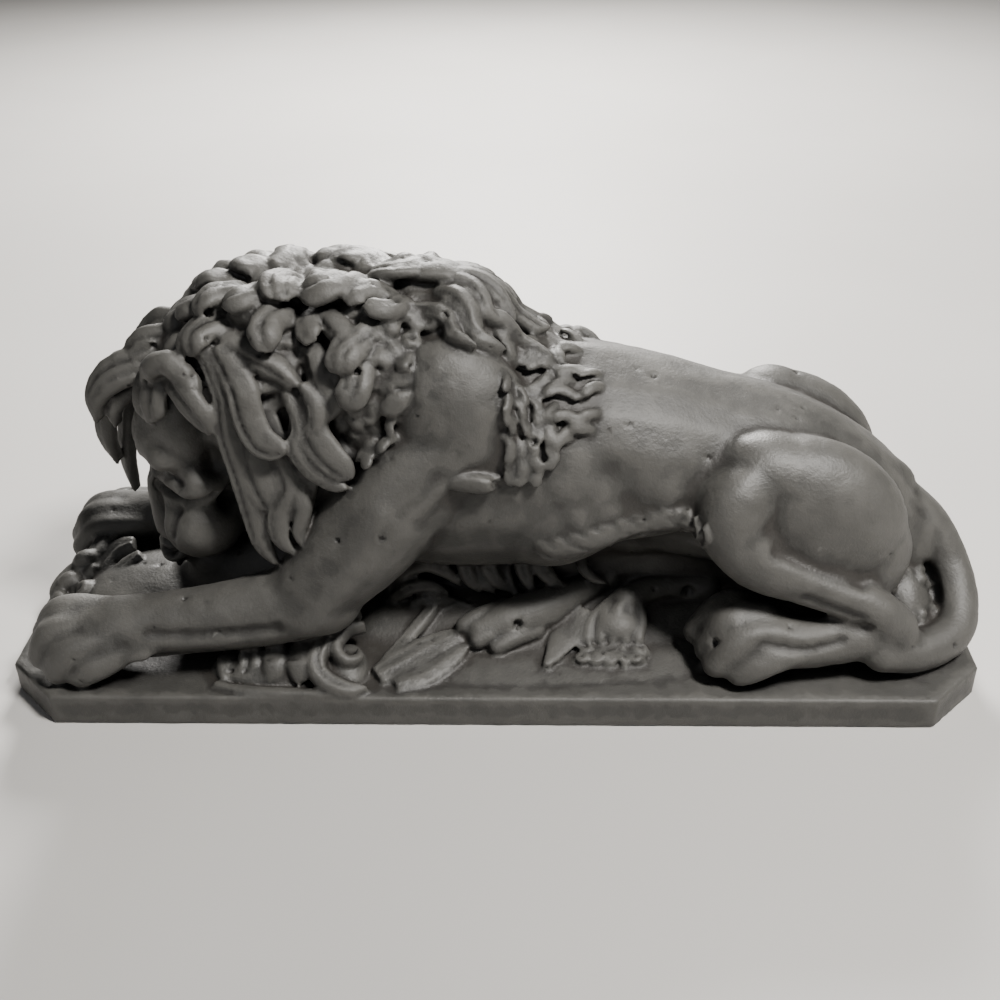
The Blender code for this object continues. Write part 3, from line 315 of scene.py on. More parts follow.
def forelegs(clay):
    clay.limb([(-8, -16, 47, 10), (-16, -18, 39, 11), (-25, -20, 28.5, 11), (-34, -22, 19, 9.2)])
    clay.limb([(-34, -22.5, 16.5, 8.8), (-43, -23.2, 13.6, 7.9), (-54, -23.8, 11.4, 7.3),
               (-66, -24.3, 9.8, 6.9), (-76, -24.8, 8.8, 7)])
    clay.ball((-80, -24.5, 8), (9, 7.5, 6.8))
    clay.ball((-70.5, -31, 6.6), (3, 2.2, 2.2))
    toes(clay, (((-79, 21.5, 11.4), (-88, 22.4, 11.6), (-92.6, 22.8, 6.6), 3.2),
                ((-79, 26, 11), (-88.5, 27.6, 9.8), (-92, 28.2, 4.6), 3.3),
                ((-77, 29, 9.6), (-84.5, 31, 7.8), (-88, 31.4, 3.2), 3.3),
                ((-74, 30.2, 7), (-79.5, 32, 5), (-83, 32.2, 2.8), 3.1)), FAR)
    clay.limb([(-8, 16, 47, 10), (-18, 18, 36, 11), (-29, 19, 24, 11), (-40, 20, 14, 10)])
    clay.limb([(-40, 20, 13, 9.4), (-54, 20, 10.5, 8.2), (-68, 20, 8.8, 7), (-78, 20, 8, 6.6),
               (-84, 20, 7.4, 6.2)])
    clay.ball((-86, 20.5, 6), (9, 8.5, 6.4))
    toes(clay, (((-82, 14.6, 9), (-91.5, 14, 8.4), (-96.6, 13.8, 3.6), 2.9),
                ((-83, 18.4, 10.4), (-93.5, 18.2, 9.4), (-98, 18.2, 4), 3),
                ((-83, 22.6, 10.4), (-93.5, 22.8, 9.4), (-98, 23, 4), 3),
                ((-81, 26.4, 9), (-90.5, 27.2, 8), (-95.4, 27.6, 3.4), 2.9)), NEAR)


def head(clay):
    """The head hangs straight down from the mane, turned a little towards the near side."""
    face = Clay()
    face.ball((-58, 0, 48), (14.5, 13, 13))
    face.ball((-65.5, 0, 44.5), (8.5, 9, 9))
    face.limb([(-67.3, 0, 43, 5.2), (-68.2, 0, 35, 4.4), (-68.6, 0, 26, 4), (-68.4, 0, 20, 3.7)])
    face.ball((-68.6, 0, 17.6), (3.8, 4.8, 3.4))
    for centre, radii in (((-67.6, -5.6, 42.4), (4.8, 5, 4.2)), ((-66.6, -6.4, 39), (4, 4.4, 3.2)),
                          ((-61.4, -8.8, 37.2), (7.2, 4.9, 5)), ((-64.8, -4.4, 32), (4.8, 4.2, 5.5)),
                          ((-62.8, -6, 26.2), (8.3, 7.6, 7.9)), ((-52, -4, 30), (8, 5, 10))):
        face.pair(centre, radii)
    face.ball((-60, 0, 13.5), (6.6, 5.4, 5))
    face.mesh.transform(HEAD_PLACE)
    clay.take(face)


def mane_mass(clay):
    """What lies under the locks, well inside the mane's outline."""
    for centre, radii in (((-42, 0, 53), (19.5, 17.5, 20.5)), ((-22, 0, 55), (18.5, 18.5, 20.2)),
                          ((-6, 0, 53.5), (14, 18, 21)), ((8, 0, 47), (12, 16.5, 17)),
                          ((-61, -1, 55), (7.5, 10, 6)), ((-67, 4, 55), (5.5, 8.5, 5.5))):
        clay.ball(centre, radii)


def tail(clay):
    """The tail comes round the near side and ends at the heel."""
    clay.limb([(83, 0, 24, 8), (91, -2, 19.5, 6.2), (96.2, -6, 13, 5), (97.6, -13, 7.7, 4.5),
               (95, -20, 4.6, 4.3), (87, -25.5, 4.2, 4.2), (79, -28, 5.5, 3.8)])


def ground(clay):
    """The bank of earth that the lion lies on, with a lump inside the loop of the tail."""
    for form in (((6, 4, -7), (84, 30, 16)), ((3, 0, -1), (88, 34, 3.2)),
                 ((86, -9, 3), (7.6, 12, 12.6), (-14, 0, 0)), ((18, 1, 10), (62, 9, 15)),
                 ((-50, 0, 6), (20, 12, 14)), ((-70, -1, -2), (24, 17, 11)), ((84, -10, 0), (11, 14, 11))):
        clay.ball(*form)


def furrow(body, path, width, depth):
    """Presses a soft groove into the body along a line near its surface; a negative depth is a ridge."""
    places, ways = places_of(body)
    line = smooth_path(path, 6 * len(path))
    above = (places > line.min(axis=0) - 3 * width).all(axis=1)
    below = (places < line.max(axis=0) + 3 * width).all(axis=1)
    near = np.nonzero(above & below)[0]
    gaps = np.linalg.norm(places[near, None] - line[None], axis=2).min(axis=1)
    places[near] -= ways[near] * (depth * np.exp(-(gaps / width) ** 2))[:, None]
    set_places(body, places)


def model_muscles(body):
    """The hollows and ridges of legs and flank."""
    for width, depth, path in (
            (3, 4, [(-56, -15, 54), (-55, -14, 44), (-53, -11, 33)]),
            (1.6, 2, [(55.5, -26, 28.8), (61, -26, 26), (68, -26, 22), (73, -25.5, 20)]),
            (1.3, 2.4, [(50, -28, 16.8), (56, -29, 16), (61, -29.5, 14.8)]),
            (1.1, 1.3, [(50, -30, 10.5), (56, -31.5, 10.6), (63, -32, 9.6), (70, -31, 11)]),
            (1, 1, [(62, -29, 20), (68, -29.5, 17.5), (74, -29, 15.5)]),
            (1, 1.1, [(64, -30, 15.5), (69, -30, 14), (75, -29.5, 13)]),
            (3.4, 1, [(47, -20, 48), (43, -21, 43), (40, -22, 36)]),
            (4, 1.6, [(22, -24, 50), (26, -23, 42), (30, -22, 34)]),
            (3, -1.2, [(-20, -28, 38), (-28, -30, 25), (-36, -31, 14)]),
            (2.6, 0.9, [(3, -24, 54), (1, -25, 48), (-5, -26, 42), (-12, -27, 36)]),
            (2.2, 0.8, [(-9, -26, 46), (-14, -27, 41), (-21, -28, 35), (-29, -29, 27)]),
            (1.8, 0.5, [(12, -25, 42), (14.5, -25, 37), (16, -24, 32)]),
            (1.8, 0.5, [(18.5, -25, 42), (21, -24.5, 37), (22.5, -24, 32)]),
            (1.2, 1.3, [(-42, -31, 13.6), (-50, -31, 12.6), (-60, -31, 12), (-68, -31, 12.2)]),
            (2.4, 2.2, [(-36, -32, 8), (-46, -31.5, 5), (-58, -31, 4), (-70, -31, 4)]),
            (6, 5, [(26, -15, 18), (34, -17, 19), (41, -18, 22)])):
        furrow(body, path, width, depth)
        furrow(body, both_sides(path, FAR), width, depth)
    furrow(body, [(86, -6, 17), (91.5, -9, 13), (93, -14, 8), (92, -18, 5)], 1.4, 2.2)


def model_face(lion, bare):
    """The eyes under their brows, the creases of the cheeks, the nostrils and the mouth.

    Bare is the surface of the body without its hair."""
    for width, depth, path in (
            (1.6, 0.8, [(-73.5, 0, 47), (-73.5, 0, 42), (-73, 0, 37)]),
            (2.2, 2.4, [(-71, -3.4, 39.8), (-69.5, -7, 39.8), (-68, -10.5, 38.8)]),
            (0.8, -0.8, [(-71, -3, 41), (-70, -5.5, 41.6), (-69, -8.5, 41), (-67.5, -11, 39.2)]),
            (0.8, 2.6, [(-71, -2.8, 38.2), (-70.4, -5.5, 39), (-69.2, -8, 38.8), (-68, -10.5, 37.8)]),
            (0.9, 1.2, [(-71, -3, 38.2), (-71, -3.4, 37.6)]),
            (0.7, -0.8, [(-70.5, -3.6, 37), (-69.8, -6, 37.1), (-68.4, -9.4, 36.8)]),
            (0.9, 2, [(-71, -3.6, 34.8), (-69, -7.5, 34.6), (-65, -11, 34.4), (-60, -13.4, 34.8)]),
            (1.0, 1.4, [(-71.5, -3.2, 36), (-71.5, -3.6, 32), (-70.8, -4, 28), (-70.6, -4.6, 24.5)]),
            (1.1, 1.3, [(-69, -9.6, 32.6), (-70, -9.2, 29.4), (-70.4, -8.8, 26.4)]),
            (1.2, 0.5, [(-67, -10, 29), (-69, -9, 26.6), (-69.5, -8.6, 24)]),
            (0.6, 0.9, [(-72.5, 0, 21.6), (-71.5, -3, 21), (-70.5, -5.4, 20)]),
            (0.8, 2, [(-72, -2.4, 18.6), (-71.2, -4, 18.4), (-70.2, -5, 19.2)]),
            (0.6, 0.9, [(-72.5, 0, 17), (-72, 0, 14.5), (-70, 0, 12.5)]),
            (1.1, 2.0, [(-70, 0, 13), (-68, -5, 13.6), (-64.5, -9, 14.6), (-60, -12, 16.6)])):
        for side in (NEAR, FAR):
            line = [HEAD_PLACE @ Vector(point) for point in both_sides(path, -side)]
            furrow(lion, [bare.find_nearest(point)[0] for point in line], width, depth)


class Coat:
    """Carved hair and folds laid on a body."""

    def __init__(self, body):
        self.clay = Clay()
        self.surface = surface_of(body.data)

    def touch(self, point):
        """The nearest place on the body and the way out of the body there."""
        place, out, _, _ = self.surface.find_nearest(Vector(point[:3]))
        return place, out

    def flank(self, x, z, side, lift=0.0):
        """The place on the body's side at x and z, that far out from it."""
        place, out, _, _ = self.surface.ray_cast(Vector((x, 60 * side, z)), Vector((0, -side, 0)))
        if place is None:
            place, out = self.touch((x, 10 * side, z))
        return tuple(place + out * lift)

    def floor(self, x, y, lift, start):
        """The place on the ground at x and y, that high above it, looked for from the start's height."""
        place = self.surface.ray_cast(Vector((x, y, start)), Vector((0, 0, -1)))[0]
        return (x, y, place.z + lift) if place else (x, y, lift)

    def hang(self, *sizes, **shape):
        """A lock that hangs free of the body."""
        self.lock(*sizes, **shape, free=True)

    def lock(self, points, width, thickness, strands, blunt, rise=0, free=False, facing=None, split=0,
             cut=0.55, lean=1.15, crown=0.4):
        """A tapering lock of strands side by side. Its points settle on the body unless it hangs free.

        Split is how far the strands stand apart at its end."""
        stations = smooth_path(points, 7 * len(points))
        rings = []
        for i, station in enumerate(stations):
            s = i / (len(stations) - 1)
            place, out = self.touch(station)
            if free:
                place = Vector(station)
            if facing:
                out = Vector(facing)
            side = along(stations, i).cross(out).normalized()
            out = side.cross(along(stations, i))
            half = 0.5 * width * min(1, 0.65 + 1.4 * s) * (1 - 0.85 * s ** blunt)
            depth = thickness * (1 - 0.4 * s ** 3)
            root = 0 if free else thickness * max(0, 1 - 4 * s) ** 2
            centre = place + out * (rise * s * s - root)
            ahead = along(stations, i) * split * s ** 4
            rings.append([centre + side * (half * u) + out * (depth * h) + ahead * lobe
                          for u, h, lobe in strand_section(strands, cut, lean, crown)])
        self.clay.add(loft(rings))

    def curl(self, point, size, start, way=1):
        """A fat curl wound round a small hole, standing up from the body towards its tip."""
        place, out = self.touch(point)
        side = out.orthogonal().normalized()
        up = out.cross(side)
        spiral = []
        for k in range(8):
            turn = math.radians(start + way * 48 * k)
            reach = size * (0.66 - 0.03 * k)
            round_hole = (math.cos(turn) * side + math.sin(turn) * up) * reach
            centre = place + round_hole + out * size * (0.25 + 0.07 * k)
            spiral.append((*centre, size * (0.50 - 0.022 * k)))
        self.clay.limb(spiral)

    def falling(self, point, turn):
        """The place on the body, the way out of it, and how hair falls there, turned by degrees."""
        place, out = self.touch(point)
        level = (HAIR_FALL - out * out.dot(HAIR_FALL)).normalized()
        return place, out, Matrix.Rotation(math.radians(turn), 3, out) @ level

    def tuft(self, point, size, turn, strands, bend):
        """A short thick lock that rises from the body and hangs over at its end.

        Its size is half its length, half its width and its thickness."""
        place, out, level = self.falling(point, turn)
        side = level.cross(out)
        length, width, thickness = size
        path = [place + level * (length * ahead) + side * (bend * width * sway) + out * (thickness * high)
                for ahead, sway, high in ((-1.25, -0.6, -0.6), (-0.7, 0, 0.4), (0, 0.5, 1.05),
                                          (0.6, 0.3, 1.4), (1, -0.3, 1.45), (1.2, -0.7, 1.3))]
        self.hang(path, 2.1 * width, 0.8 * thickness, strands, blunt=12, facing=out, split=0.3 * length,
                  cut=0.4, lean=0.8, crown=0.3)

    def slab(self, point, size, turn):
        """A small flat tuft, its end standing off the body.

        Its size is half its length, half its width and its thickness."""
        place, out, level = self.falling(point, turn)
        ahead = level * math.cos(SLAB_TILT) + out * math.sin(SLAB_TILT)
        self.clay.pebble(place + out * size[2] * 0.3, size, ahead, out)


def strand_section(strands, cut, lean, crown):
    """A section whose outer side rises over each strand and drops at its edge, with a plain inner side.

    Cut is how deep the drops are, a lean under 1 makes the last strand the narrowest, and a small crown
    makes a flat section. Each point is across, out and how near it is to the middle of its strand."""
    section = []
    for k in range(strands):
        start, end = (2 * (n / strands) ** lean - 1 for n in (k, k + 1))
        for t, ledge in ((0.03, 0), (0.1, 0.5), (0.35, 0.78), (0.7, 1), (0.88, 0.94), (0.97, 0.3)):
            u = start + (end - start) * t
            section.append((u, (1 - u * u) ** crown * (1 - cut + cut * ledge), math.sin(math.pi * t)))
    for k in range(1, 8):
        turn = math.pi * k / 8
        section.append((math.cos(turn), -0.6 * math.sin(turn), 0))
    return section


def both_sides(points, side):
    return [(x, y * -side, *rest) for x, y, *rest in points]


def forehead_locks(coat):
    """The hood of locks that falls over the brow, longest on the far side."""
    ahead = (-0.55, -0.8, 0.25)
    for width, strands, blunt, path in (
            (4.5, 2, 3, [(-73, 4, 52), (-76, 4, 44), (-77.5, 3, 34), (-77, 3, 26)]),
            (6, 2, 3, [(-74.5, 0, 52), (-78.5, -1, 47), (-79.5, -1, 41), (-78.5, 0, 35)]),
            (5, 2, 3, [(-72, 8, 52), (-74.5, 9, 45), (-74, 9, 36), (-71, 8, 30)]),
            (8, 3, 3, [(-65, -4, 58.5), (-70.5, -5.5, 59), (-75.5, -6, 56.5), (-78.5, -6, 52.5),
                       (-79, -5.5, 47.5)]),
            (5, 2, 3, [(-70, -3, 54.5), (-73.5, -4, 52.5), (-75.5, -5, 49.5), (-75, -6, 46.5)]),
            (9, 3, 14, [(-63, -10, 61), (-65, -12.5, 57), (-65.5, -13.5, 51.6)]),
            (6.4, 2, 9, [(-60, -12.5, 61), (-57.5, -16, 59), (-54.8, -18, 56), (-52.4, -18.8, 52)]),
            (8, 3, 4, [(-61, -3, 63), (-67.5, -4, 63), (-71.5, -4.5, 59)]),
            (7, 3, 4, [(-60, 4, 65), (-67, 6, 63), (-72, 8, 57), (-75, 9, 51)])):
        coat.hang(path, width, 2.5, strands, blunt=blunt, facing=ahead, cut=0.5, crown=0.3, split=0.8)
    for path in ([(-65.5, -11, 57.5, 1.9), (-64, -13, 62, 2.3), (-60.5, -14.5, 64.2, 2.5),
                  (-56.5, -16, 61.5, 2.3), (-55.5, -17, 57.5, 1.8)],
                 [(-67, 11, 59, 2.4), (-65, 14, 61, 2.6), (-61, 16, 60, 2.4), (-59, 18, 56, 2)]):
        coat.clay.limb(path)
    for width, path in ((8, [(-64, 14, 61), (-66, 17, 56), (-64, 19, 50)]),
                        (7, [(-69, 11, 58), (-71.5, 14, 53), (-69, 16, 46)])):
        coat.hang(path, width, 3.6, 3, blunt=6, facing=(-0.5, 0.85, 0.2))


def curtain(coat):
    """The long flat locks beside the cheek.

    Each has a width, bluntness, strands, y at its root and its tip, and x and z along it."""
    for side in (NEAR, FAR):
        for width, blunt, strands, root, tip, line in (
                (9, 8, 3, 17, 20.5, [(-43, 56), (-42, 48), (-42.5, 40), (-41.5, 31)]),
                (8, 8, 3, 18, 21, [(-34, 58), (-34, 51), (-36, 43), (-37.5, 35), (-36.6, 29.5)]),
                (3.4, 4, 2, 18, 22.5, [(-34, 61.5), (-31.5, 58), (-31.3, 53.8), (-29.3, 51.4),
                                       (-26.8, 49.4)]),
                (3.4, 4, 1, 20, 24.5, [(-37, 44), (-35.3, 38), (-36.6, 32), (-35, 28.4)]),
                (6.4, 12, 2, 17, 24, [(-34.5, 60), (-32.3, 53), (-29.8, 49), (-25, 44.6)]),
                (3.8, 6, 2, 17, 24.6, [(-37.4, 60), (-34.8, 53.4), (-35.8, 49.8), (-33.2, 45.8), (-29, 43),
                                       (-26, 42.6)]),
                (7, 10, 2, 18.5, 22, [(-45.4, 50), (-43.2, 42), (-41, 36)]),
                (4.6, 6, 2, 19, 24, [(-40.4, 49), (-37.7, 41.1), (-40.2, 36), (-40.6, 31), (-38, 27.4)]),
                (6.6, 12, 2, 13.5, 23, [(-50, 67), (-45.8, 61), (-44.4, 55.3), (-42, 51), (-37.2, 50)]),
                (5.8, 7, 2, 13.5, 23, [(-53, 66), (-49.4, 59), (-49, 51.5), (-47.6, 45.5), (-46.4, 39.8),
                                       (-45.4, 33.9), (-44.4, 28.5), (-42, 24.2)])):
            path = []
            for i, (x, z) in enumerate(line):
                spread = (i / (len(line) - 1)) ** 0.5
                path.append((x, (root + (tip - root) * spread) * side, z))
            coat.hang(path, width, 1.9, strands, blunt, rise=0.4, facing=(-0.15, side, 0.3), cut=0.6,
                      lean=0.45 if side == NEAR else 1.8, crown=0.12)
        for x, z, size in ((-42, 56, 1.7), (-40.4, 53, 1.6), (-39.5, 57.5, 1.4)):
            coat.curl((x, 21 * side, z), size, 40 * x)


def mane_ground(coat):
    """Small tufts that fill the hollows between the mane's large ones."""
    chance = random.Random(17)
    for side in (NEAR, FAR):
        for row in range(7):
            for k in range(13):
                x = -66 + 4 * k + chance.uniform(-1.2, 1.2)
                rise = math.radians(8 + 12.5 * row + chance.uniform(-4, 4))
                spot = (x, 24 * side * math.cos(rise), 54 + 27 * math.sin(rise))
                place = coat.touch(spot)[0]
                if place.z < 58 or place.x < -64:
                    continue
                small = chance.uniform(1.5, 2.2)
                coat.slab(place, (small * 1.35, small * 0.8, 1.4), chance.uniform(-60, 60))


def mane_sides(coat):
    """Steps of broad tufts on each side of the mane, over small curls behind them."""
    chance = random.Random(7)
    behind = ((-19, 69, 2.4), (-20, 64, 3), (-22, 56, 2.8), (-21, 50, 2.4), (-24, 52.5, 2.6),
              (-15, 71, 2.6), (-14, 67, 2.2), (-18, 59.5, 2.2), (-25, 47.5, 2.2), (-10, 70, 2.2),
              (-28, 53, 2.4))
    for side in (NEAR, FAR):
        for x, z, size in behind:
            coat.curl(coat.flank(x, z, side), size, chance.uniform(0, 360), chance.choice((-1, 1)))
        for k in range(34):
            x = -25.5 + 2.6 * (k % 5) + chance.uniform(-1, 1)
            z = 70 - 3.8 * (k // 5) + chance.uniform(-1, 1)
            small = chance.uniform(1.1, 1.5)
            coat.tuft(coat.flank(x - 0.12 * (69 - z), z, side), (small * 1.5, small, small),
                      chance.uniform(-60, 30) * side, 1, chance.uniform(-0.9, 0.9))
        for width, blunt, rise, line in (
                (6, 10, 2.4, [(-25.5, 64.5), (-23.5, 61), (-23.5, 57.5)]),
                (6.6, 9, 2.6, [(-36, 66.5), (-31.5, 64), (-29, 59), (-28.3, 54.5)]),
                (6.4, 4, 2.8, [(-54, 67), (-49, 66.6), (-43, 65), (-38, 62), (-35, 58.8)]),
                (5.4, 8, 3.4, [(-35.5, 71), (-30, 70.5), (-25.5, 68), (-23.5, 65.5)]),
                (4.4, 8, 3, [(-54, 70), (-48.5, 70.5), (-42.5, 69)])):
            path = [coat.flank(x, z, side, 0.6) for x, z in line]
            coat.lock(path, width, 3.2, 2, rise=rise, blunt=blunt, cut=0.35, lean=0.6)
        for x, y, z, size, turn, strands, bend in (
                (-60, 3, 70, (3.3, 3, 3), -10, 2, 0.4), (-54.5, 4, 71.5, (3.4, 2.8, 3), 10, 2, -0.6),
                (-49.5, 6, 73, (3.8, 2.8, 3.2), -5, 2, 0.5), (-44.4, 7, 73.5, (3.8, 2.9, 3.2), 10, 2, -0.7),
                (-37.4, 5.5, 75.5, (4, 4.2, 3.4), -15, 3, 0.4), (-29, 6, 76, (3.6, 5, 3.4), 10, 3, -0.3),
                (-60.5, 8, 66, (3.2, 3.4, 2.6), -20, 2, 0.5), (-52.5, 11, 68.5, (3.4, 3.6, 3.2), 5, 3, 0.3),
                (-39.5, 12.5, 70.5, (4, 3.2, 3.2), -10, 2, 0.6),
                (-32.5, 12.5, 72.5, (3.4, 2.6, 2.6), 30, 2, 0.8),
                (-24.5, 17, 67.5, (3, 3.4, 2.8), -10, 3, 0.3),
                (-24, 19.5, 62.5, (3.2, 3.2, 2.8), 5, 3, -0.4),
                (-21.5, 9, 76, (3.6, 2.4, 2.2), -40, 2, 0.8),
                (-17.5, 11, 74.5, (3.6, 2.2, 2.2), -50, 2, -0.8)):
            coat.tuft((x, y * side, z), size, turn * -side, strands, bend * -side)


def mane_top(coat):
    """The crown's tufts in steps, then long smooth locks that fall back over the shoulders."""
    for x, y, z, size, turn, strands, bend in (
            (-52.5, 2, 75, (3.6, 4.2, 3), 10, 2, 0.4), (-45, 1, 77.5, (3.6, 3.6, 2.8), -20, 1, 0.5),
            (-58, 1, 72, (3.4, 3, 2.8), -40, 1, 0.6), (-38, 2, 78.5, (3.4, 3.8, 2.6), 10, 2, 0.5),
            (-31, 1, 79, (3.4, 4.2, 2.6), -25, 3, -0.5), (-24, 2, 79.5, (3.8, 4, 2.6), -10, 3, 0.6),
            (-17, 0, 79.5, (3.6, 4.2, 2.6), 10, 3, 0.4), (-10.5, 1, 78, (3.8, 4.6, 3), -15, 3, -0.4)):
        coat.tuft((x, y, z), size, turn, strands, bend)
    coat.lock([(-6, 0, 78.5), (1, 0, 77), (7, 0, 72), (12, 0, 66.5)], 8, 3, 3, rise=0.6, blunt=5)
    for side in (NEAR, FAR):
        for width, blunt, path in (
                (6.4, 4, [(-16, 2, 79), (-11, 2, 79), (-7, 3, 78), (-3, 4, 76), (-1, 6, 73.5), (0, 8, 71),
                          (4, 9, 69)]),
                (6, 4, [(-14, 5.5, 77), (-9, 6, 77), (-5, 8, 75), (-3, 10, 73), (-2, 12.5, 71),
                        (0, 14, 69), (4, 14, 66)]),
                (7, 4, [(-9, 0, 79), (-3, 0.5, 78.5), (2, 1.5, 76), (4.5, 3, 73), (5.5, 5, 69)]),
                (4.4, 3, [(-15, 9, 75.5), (-11, 10.5, 75), (-7, 12.5, 73), (-5, 15.5, 70), (-2, 17, 67.5)]),
                (4, 3, [(1, 8, 74), (6, 8, 70), (9, 8, 66), (13, 9, 63)])):
            coat.lock([(x, y * side, z) for x, y, z in path], width, 3.4, 2, rise=0.8, blunt=blunt,
                      cut=0.4, lean=0.5 if side == NEAR else 1.7)


def shoulder_fringe(coat):
    """Short bent tufts behind the shoulder, in a pointed patch below the end of the mane."""
    chance = random.Random(3)
    ends = (12, 15, 17.5, 19, 20, 20.5, 20, 18, 14.5, 12, 10)
    for side in (NEAR, FAR):
        for row, last in enumerate(ends):
            z = 67.5 - 2.25 * row
            first = 2.8 + 0.2 * row + chance.uniform(-0.5, 0.5)
            count = max(1, round((last - first) / 2.5))
            for k in range(count + 1):
                x = first + (last - first) * k / count + chance.uniform(-0.5, 0.5)
                place = coat.flank(x, z + chance.uniform(-0.7, 0.7), side)
                flow = 75 * noise.noise(Vector((0.11 * x, 0.11 * z, 3.5))) + chance.uniform(-25, 25) + 20
                size = chance.uniform(0.9, 1.25)
                coat.tuft(place, (size * 1.7, size, size * 0.85), flow * side, 1, chance.uniform(-1, 1))


def belly_fur(coat):
    """The thin shaggy fold along the flank's lower edge, and the strands in the groin."""
    chance = random.Random(9)
    for side in (NEAR, FAR):
        for k in range(17):
            x, z = 9 + 1.7 * k + chance.uniform(-0.4, 0.4), 27.2 + 0.5 * k
            line = [(x, z), (x + 2, z - 1.2), (x + 4, z - 2), (x + 5.4, z - 2.4 - chance.uniform(0, 0.7))]
            path = [coat.flank(u, w, side, lift) for (u, w), lift in zip(line, (-1.2, 0, 0.4, 0.2))]
            coat.hang(path, chance.uniform(1.6, 2.2), 1.1, 1, blunt=2)
        for k in range(9):
            x, z = 8 + 3 * k, 30 + 0.66 * k
            reach = chance.uniform(0.9, 1.15)
            line = [(x, z), (x + 3 * reach, z - 1.6), (x + 6 * reach, z - 2.6), (x + 9 * reach, z - 3)]
            path = [coat.flank(u, w, side, lift) for (u, w), lift in zip(line, (-1.8, -0.2, 0.4, 0.5))]
            coat.hang(path, chance.uniform(3.4, 4.2), 1.3, 3, blunt=2.4, split=1)
        for k in range(5):
            x = 37 + 1.3 * k
            path = [coat.flank(x + sway, z, side, 0.3) for sway, z in ((0, 35), (0.6, 32), (-0.2, 29))]
            coat.hang(path, 1.5, 1.1, 1, blunt=2)


def cloth(coat):
    """The folded cloth under the foreleg and the belly, and the pole and leaf that lie on it."""
    coat.clay.ball((-45.5, -26.5, -0.5), (12.5, 6, 4))
    for x, width, high, end in ((-54, 4.6, 2.6, -31), (-50.4, 2.2, 4.4, -30.5), (-47.8, 2.4, 4.8, -30.5),
                                (-43.8, 5, 5.4, -31.6), (-38.2, 6.4, 6, -32.2)):
        line = [(x, -24, high), (x - 0.3, -27, high - 0.7), (x - 0.1, end + 2, high - 2),
                (x - 0.6, end, 0.6)]
        coat.hang(line, width, 1.6, 1, blunt=9)
    flange = [(-56, -32, 0.2), (-50, -33.6, 0.2), (-40, -34.4, 0.2), (-30, -34.6, 0.2), (-24, -34, 0.2)]
    coat.hang(flange, 2.6, 1, 1, blunt=12)
    coat.clay.ball((-31, -26, 0), (6, 7.5, 3.4), (0, 0, 20))
    swirl = [(-27.5, -18.5, 8.5), (-32, -22, 7), (-35, -27.5, 4.6), (-34.5, -31.5, 2.4),
             (-29.5, -34, 0.8), (-24.5, -34, 0.5)]
    coat.hang(swirl, 4.6, 2.6, 2, blunt=9, facing=(0.3, -0.3, 1))
    inner = [(-26, -21, 6.5), (-30, -22.5, 6), (-31.5, -26.5, 5), (-29.5, -29, 3.8), (-27, -27.5, 3.2),
             (-27.5, -25, 3)]
    coat.hang(inner, 3, 2.4, 1, blunt=5, facing=(0.3, -0.3, 1))
    pole = [(-9.5, -8.5, 7.6), (-13, -14, 5.4), (-18, -21, 2.8), (-23.5, -29, 0.8)]
    coat.hang(pole, 3.2, 1.5, 2, blunt=12, facing=(0, -0.3, 1))
    for width, path in ((7.5, [(-23, -30, 0.8), (-17.5, -26.5, 1.8), (-11.5, -22, 2.8),
                               (-5.5, -18.5, 3.4)]),
                        (5, [(-19, -32.5, 0.3), (-13, -29.5, 0.8), (-8, -25, 1.6), (-4.5, -21, 2)])):
        coat.hang(path, width, 1.1, 3, rise=0.3, blunt=4, facing=(0, -0.3, 1), split=1.2)
    for width, path in (
            (4.6, [(-22, -8, 6), (-19.5, -8.5, 11.5), (-14.5, -9, 14.6), (-10, -9.5, 13),
                   (-6.5, -10, 9.6)]),
            (3.6, [(-21.5, -9.5, 5.4), (-17.5, -10.5, 9.2), (-13, -10.5, 9.8), (-9.4, -10.5, 8)]),
            (3.2, [(-17, -11, 5.4), (-12.5, -11.5, 7), (-8, -11, 5.6), (-4, -12, 5.6)])):
        coat.hang(path, width, 2.2, 2, blunt=4, facing=(0, -0.8, 0.6))
    for x, z, sway, width, reach in (
            (-5.8, 16.6, 3, 4, 1), (-1, 17, 4.6, 4.4, 1.05), (6.4, 16.4, 2.8, 4, 1),
            (10.2, 16, 5.4, 4.4, 0.8), (19, 14.8, 5, 2.8, 0.5), (-3.5, 14.5, 4, 3, 0.8),
            (3, 13.5, 3, 3, 0.8)):
        line = [(x, -7.5, z), (x + 0.1 * sway, -9.6, z - 2.6 * reach),
                (x + 0.5 * sway, -11, z - 5.4 * reach), (x + sway, -11.4, z - 7.4 * reach)]
        coat.hang(line, width, 1.9, 2, blunt=2.6, facing=(0.1, -0.8, 0.6), split=0.8)


